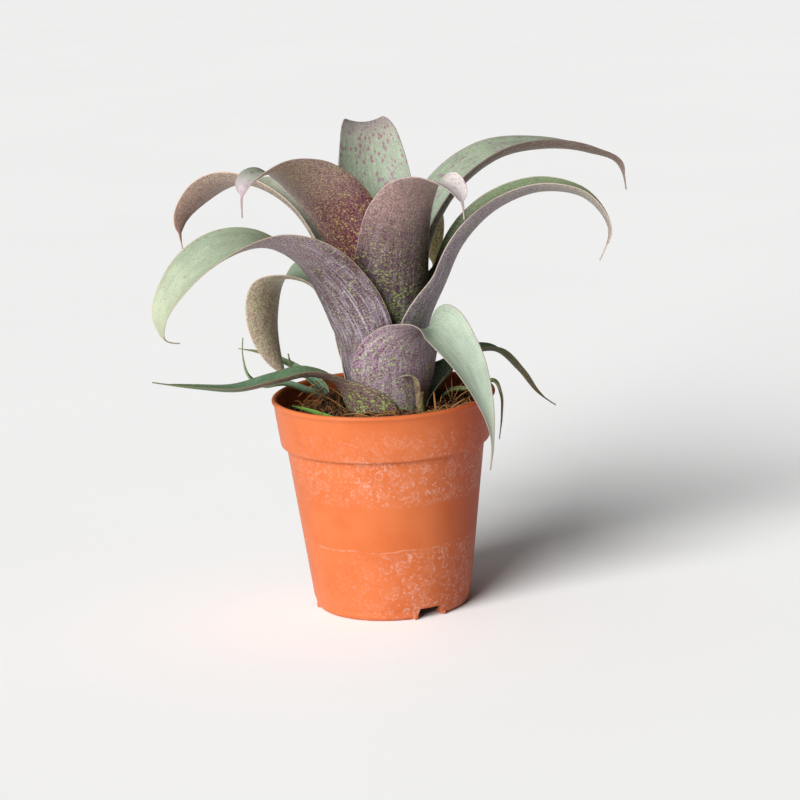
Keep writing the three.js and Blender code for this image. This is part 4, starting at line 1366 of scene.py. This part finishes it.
@dataclass
class PottingMix:
    """Peat with coarse bits and coir fibres, mounded about the plant."""

    sides: int = 260
    rings: int = 64
    crumbs: int = 1500
    heap_crumbs: int = 420
    fibres: int = 520
    heap_fibres: int = 110
    heap: tuple[float, float, float, float] = (-20.5, 8.0, 7.5, 6.5)
    peat: MixFinish = MixFinish("damp_peat", "140d09", "4a3020")
    bark: MixFinish = MixFinish("bark_bits", "1c110b", "6b472c")
    coir: MixFinish = MixFinish("coir_fibre", "381c0e", "b07c48")
    dice: random.Random = field(default_factory=lambda: random.Random(41))

    @staticmethod
    def level(x: float, y: float) -> float:
        """Height of the surface, as in the frame.

        Args:
            x: place to the right.
            y: place to the back.

        Returns:
            The height in millimetres.
        """
        height = SOIL - SOIL_SKIN
        for across, back, reach, swell in SWELLS:
            height += swell * math.exp(-((x - across) ** 2 + (y - back) ** 2) / reach ** 2)
        lumps = 0.45 * math.sin(0.62 * x + 0.8) * math.cos(0.55 * y)
        return height + lumps + 0.3 * math.sin(1.15 * y + 0.4 * x)

    def top(self, x: float, y: float) -> float:
        """Height of the surface with its crumbly relief.

        Args:
            x: place to the right.
            y: place to the back.

        Returns:
            The height in millimetres.
        """
        coarse = noise.noise(Vector((x * 0.35, y * 0.35, 3.0)))
        fine = noise.noise(Vector((x * 1.1, y * 1.1, 9.0)))
        return self.level(x, y) + 1.0 * coarse + 0.5 * fine - 0.3

    @staticmethod
    def inside(z: float) -> float:
        """The mix's radius within the pot's wall at a height."""
        return NurseryPot.wall_at(z) - WALL - MIX_ROOM

    def ground(self) -> bpy.types.Object:
        """Makes the body of the mix, which stands for its plain solid.

        Returns:
            The object.
        """
        rings = [(STEM_FOOT_RADIUS + GAP, STEM_FOOT_Z - GAP, STEM_X),
                 (OUTER_RADIUS + HOLE_ROOM, STEM_EDGE_Z - STEM_EDGE, STEM_X)]
        for i in range(self.rings + 1):
            t = i / self.rings
            rings.append((MOUTH + (SOIL_EDGE - MOUTH) * t, None, STEM_X * (1 - t)))
        rings += [(SOIL_EDGE - 0.4, BAND_FOOT_Z + 2.4, 0),
                  (self.inside(BAND_FOOT_Z) - 0.1, BAND_FOOT_Z + 1, 0), (self.inside(66), 66, 0),
                  (self.inside(MIX_FOOT_Z), MIX_FOOT_Z, 0), (FOOT_RADIUS - FOOT_ROUND - 1, 2.0, 0)]
        points = [(STEM_X, 0.0, STEM_FOOT_Z - GAP)]
        for r, z, c in rings:
            for i in range(self.sides):
                a = 2 * math.pi * i / self.sides
                x, y = c + r * math.cos(a), r * math.sin(a)
                points.append((x, y, self.top(x, y) if z is None else z))
        points.append((0.0, 0.0, 1.8))
        k, end = self.sides, len(points) - 1
        faces = []
        for i in range(k):
            j = (i + 1) % k
            faces.append((0, 1 + i, 1 + j))
            faces += [(q + i, q + k + i, q + k + j, q + j) for q in range(1, end - k, k)]
            faces.append((end, end - k + j, end - k + i))
        shade = [0.25 + 0.25 * noise.noise(Vector(p) * 0.5) for p in points]
        body = Body()
        body.add(np.array(points), faces, shade=np.array(shade))
        piece = body.make("potting_mix_body", self.peat.material())
        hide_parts("potting_mix")
        return piece

    def spot(self) -> tuple[float, float]:
        """Picks a place on the surface between the plant and the pot's wall.

        Returns:
            Its places to the right and to the back.
        """
        a = self.dice.uniform(0, 2 * math.pi)
        r = math.sqrt(self.dice.uniform((MOUTH + 0.6) ** 2, (SOIL_EDGE - CRUMB_ROOM) ** 2))
        t = (r - MOUTH) / (SOIL_EDGE - MOUTH)
        return STEM_X * (1 - t) + r * math.cos(a), r * math.sin(a)

    def heaped(self) -> tuple[float, float, float]:
        """Picks a place in the heap about the offset's foot.

        Returns:
            Its places to the right, to the back and over the surface.
        """
        x, y, reach, height = self.heap
        a = self.dice.uniform(0, 2 * math.pi)
        share = math.sqrt(self.dice.random())
        lift = height * (1 - share ** 2) * self.dice.uniform(0.1, 1.0)
        return x + reach * share * math.cos(a), y + reach * share * math.sin(a), lift

    @staticmethod
    def pebble() -> tuple[np.ndarray, Faces]:
        """A ball of twenty triangles, each cut into four.

        Returns:
            Its corners and faces.
        """
        phi = (1 + 5 ** 0.5) / 2
        corners = [(-1, phi, 0), (1, phi, 0), (-1, -phi, 0), (1, -phi, 0),
                   (0, -1, phi), (0, 1, phi), (0, -1, -phi), (0, 1, -phi),
                   (phi, 0, -1), (phi, 0, 1), (-phi, 0, -1), (-phi, 0, 1)]
        sides = [(0, 11, 5), (0, 5, 1), (0, 1, 7), (0, 7, 10), (0, 10, 11), (1, 5, 9), (5, 11, 4),
                 (11, 10, 2), (10, 7, 6), (7, 1, 8), (3, 9, 4), (3, 4, 2), (3, 2, 6), (3, 6, 8),
                 (3, 8, 9), (4, 9, 5), (2, 4, 11), (6, 2, 10), (8, 6, 7), (9, 8, 1)]
        base = unit(np.array(corners, float))
        points, faces = [*base], []
        halves: dict[tuple[int, int], int] = {}
        for a, b, c in sides:
            mids = []
            for p, q in ((a, b), (b, c), (c, a)):
                key = (min(p, q), max(p, q))
                if key not in halves:
                    halves[key] = len(points)
                    points.append(unit((base[p] + base[q])[None])[0])
                mids.append(halves[key])
            faces += [(a, mids[0], mids[2]), (b, mids[1], mids[0]), (c, mids[2], mids[1]),
                      tuple(mids)]
        return np.array(points), faces

    def bits(self) -> bpy.types.Object:
        """Makes the crumbs and bark bits that lie on the surface.

        Returns:
            The object.
        """
        sphere, faces = self.pebble()
        body = Body()
        roll = self.dice.uniform
        for i in range(self.crumbs + self.heap_crumbs):
            x, y, lift = (*self.spot(), 0.0) if i < self.crumbs else self.heaped()
            size = CRUMB_LEAST + CRUMB_SPREAD * self.dice.random() ** 3
            spin = np.array(Matrix.Rotation(roll(0, 6.28), 3, Vector(
                (roll(-1, 1), roll(-1, 1), roll(-1, 1)))))
            lump = np.array([1 + 0.45 * noise.noise(Vector(p) * 1.7 + Vector((x, y, size)))
                             for p in sphere])
            shape = sphere * lump[:, None] * np.array([1, roll(0.5, 0.9), roll(0.35, 0.7)]) * size
            shape = shape @ spin.T + np.array([x, y, self.top(x, y) + size * 0.15 + lift])
            body.add(shape, faces, shade=np.full(len(shape), self.dice.random() ** 1.5))
        return body.make("mix_crumbs", self.bark.material())

    def strand(self, body: Body, path: np.ndarray, thick: float, shade: float) -> None:
        """Adds a fibre along a path.

        Args:
            body: the mesh in the making.
            path: its points.
            thick: its thickness in the middle.
            shade: its shade, 0 to 1.
        """
        n, k = len(path), FIBRE_SIDES
        along = unit(np.gradient(path, axis=0))
        side = unit(np.cross(along, np.array([0.13, 0.21, 0.97])))
        up = np.cross(side, along)
        taper = 0.5 * thick * (0.35 + 0.65 * np.sin(np.linspace(0.15, math.pi - 0.15, n)))
        a = np.linspace(0, 2 * math.pi, k, endpoint=False)
        ring = (path[:, None] + taper[:, None, None] * (np.cos(a)[None, :, None] * side[:, None]
                                                        + np.sin(a)[None, :, None] * up[:, None]))
        body.add(ring.reshape(-1, 3), tube(n, k), shade=np.full(n * k, shade))

    def fibre(self, x: float, y: float, base: float) -> np.ndarray:
        """Path of one fibre that wanders over the surface.

        Args:
            x: its start to the right.
            y: its start to the back.
            base: how high its start lies over the surface.

        Returns:
            Its points.
        """
        roll = self.dice.uniform
        a, length, bend = roll(0, 2 * math.pi), roll(4, 15), roll(-0.16, 0.16)
        lift = roll(0.2, 1.4) if self.dice.random() < 0.8 else roll(2, 5)
        path = []
        steps, edge = FIBRE_POINTS - 1, SOIL_EDGE - FIBRE_ROOM
        for j in range(FIBRE_POINTS):
            t = j / steps
            r = math.hypot(x, y)
            if r > edge:
                x, y = x * edge / r, y * edge / r
            over = base * (1 - 0.6 * t) + lift * math.sin(math.pi * min(1, t * 1.3))
            path.append((x, y, self.top(x, y) + 0.15 + over))
            x += math.cos(a) * length / steps
            y += math.sin(a) * length / steps
            a += bend
        return np.array(path)

    def hairs(self) -> bpy.types.Object:
        """Makes the coir fibres that lie and stand on the surface.

        Returns:
            The object.
        """
        body = Body()
        for i in range(self.fibres + self.heap_fibres):
            path = self.fibre(*((*self.spot(), 0.0) if i < self.fibres else self.heaped()))
            if (np.hypot(path[:, 0] - STEM_X, path[:, 1]) >= MOUTH + 0.3).all():
                self.strand(body, path, self.dice.uniform(0.18, 0.5), self.dice.random())
        for start, end, sag, thick, shade in STRAWS:
            t = np.linspace(0, 1, STRAW_POINTS)[:, None]
            path = np.array(start) * (1 - t) + np.array(end) * t
            path[:, 2] += sag * np.sin(math.pi * t[:, 0])
            self.strand(body, path, thick, shade)
        return body.make("coir_fibres", self.coir.material())

    def build(self) -> list[bpy.types.Object]:
        """Makes its body, the bits and the fibres."""
        return [self.ground(), self.bits(), self.hairs()]


@dataclass
class Studio:
    """Pale floor, soft light and the photograph's camera."""

    target: tuple[float, float, float] = (6.6, 0.0, 83.4)
    distance: float = 1200.0
    elevation: float = 12.66
    roll: float = 2.73
    lens: float = 134.3
    sensor: float = 36.0
    floor_reach: float = 6.0
    sky: tuple[float, float, float, float] = (0.98, 0.99, 1.0, 1.0)

    def camera(self) -> None:
        """Sets the camera at the photograph's viewing angle."""
        e, roll = math.radians(self.elevation), math.radians(self.roll)
        back = Vector((0, -math.cos(e), math.sin(e)))
        flat, rise = Vector((1, 0, 0)), Vector((0, math.sin(e), math.cos(e)))
        right = flat * math.cos(roll) - rise * math.sin(roll)
        up = flat * math.sin(roll) + rise * math.cos(roll)
        lens = bpy.data.cameras.new("camera")
        lens.lens = self.lens
        lens.sensor_width = self.sensor
        lens.clip_start, lens.clip_end = 0.05, 50
        seat = link("camera", lens)
        turn = Matrix((right, up, back)).transposed().to_4x4()
        eye = (Vector(self.target) + back * self.distance) * MM
        seat.matrix_world = Matrix.Translation(eye) @ turn
        bpy.context.scene.camera = seat

    def key(self, bearing: float, height: float, strength: float, spread: float) -> None:
        """Sets the main light, as even over the floor as that of a large far softbox.

        Args:
            bearing: where it comes from, in degrees to the left of the front.
            height: its height over the horizon in degrees.
            strength: its strength.
            spread: its width in degrees.
        """
        light = bpy.data.lights.new("key", "SUN")
        light.energy = strength
        light.angle = math.radians(spread)
        a, e = math.radians(bearing), math.radians(height)
        source = Vector((-math.sin(a) * math.cos(e), -math.cos(a) * math.cos(e), math.sin(e)))
        link("key", light).matrix_world = (-source).to_track_quat("-Z", "Y").to_matrix().to_4x4()

    def floor(self) -> None:
        """Lays the floor."""
        mesh = bpy.data.meshes.new("floor")
        corners = ((-1, -1), (1, -1), (1, 1), (-1, 1))
        mesh.from_pydata([(x * self.floor_reach, y * self.floor_reach, 0) for x, y in corners], [],
                         [(0, 1, 2, 3)])
        mesh.materials.append(FloorFinish().material())
        floor = link("floor", mesh)

    def room(self, left: float, right: float) -> None:
        """Fills the room with soft light, brighter on the side of the window.

        Args:
            left: the strength on the left.
            right: the strength on the right.
        """
        world = bpy.data.worlds.new("room")
        world.use_nodes = True
        nodes, links = world.node_tree.nodes, world.node_tree.links
        where = nodes.new("ShaderNodeTexCoord")
        split = nodes.new("ShaderNodeSeparateXYZ")
        level = nodes.new("ShaderNodeMapRange")
        links.new(where.outputs["Generated"], split.inputs[0])
        links.new(split.outputs["X"], level.inputs["Value"])
        for key, value in (("From Min", -0.8), ("From Max", 0.8), ("To Min", left),
                           ("To Max", right)):
            level.inputs[key].default_value = value
        level.interpolation_type = "SMOOTHSTEP"
        sky = nodes["Background"]
        sky.inputs["Color"].default_value = self.sky
        links.new(level.outputs[0], sky.inputs["Strength"])
        bpy.context.scene.world = world

    def build(self) -> None:
        """Sets up the camera, the floor, the soft light and the main light."""
        self.camera()
        self.floor()
        self.room(left=0.36, right=0.0)
        self.key(bearing=37.0, height=26.0, strength=5.3, spread=42.0)
        settings = bpy.context.scene.view_settings
        settings.view_transform = "Standard"
        settings.look = "None"


def dress_kept_nodes() -> None:
    """Gives the stem, which stays as the frame has it, its finish."""
    finish = MixFinish("stem_tissue", "4a3d28", "8a7a54").material()
    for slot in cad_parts["stem"].material_slots:
        slot.material = finish


def main() -> None:
    """Builds the plant, its pot and the studio, piece by piece."""
    logging.basicConfig(level=logging.INFO, format="%(message)s")
    Studio().build()
    NurseryPot().build()
    PottingMix().build()
    dress_kept_nodes()
    HeartBud().build()
    for piece in (*LEAVES, *SHOOTS):
        piece.build()
    bpy.context.view_layer.update()


if __name__ == "__main__":
    main()
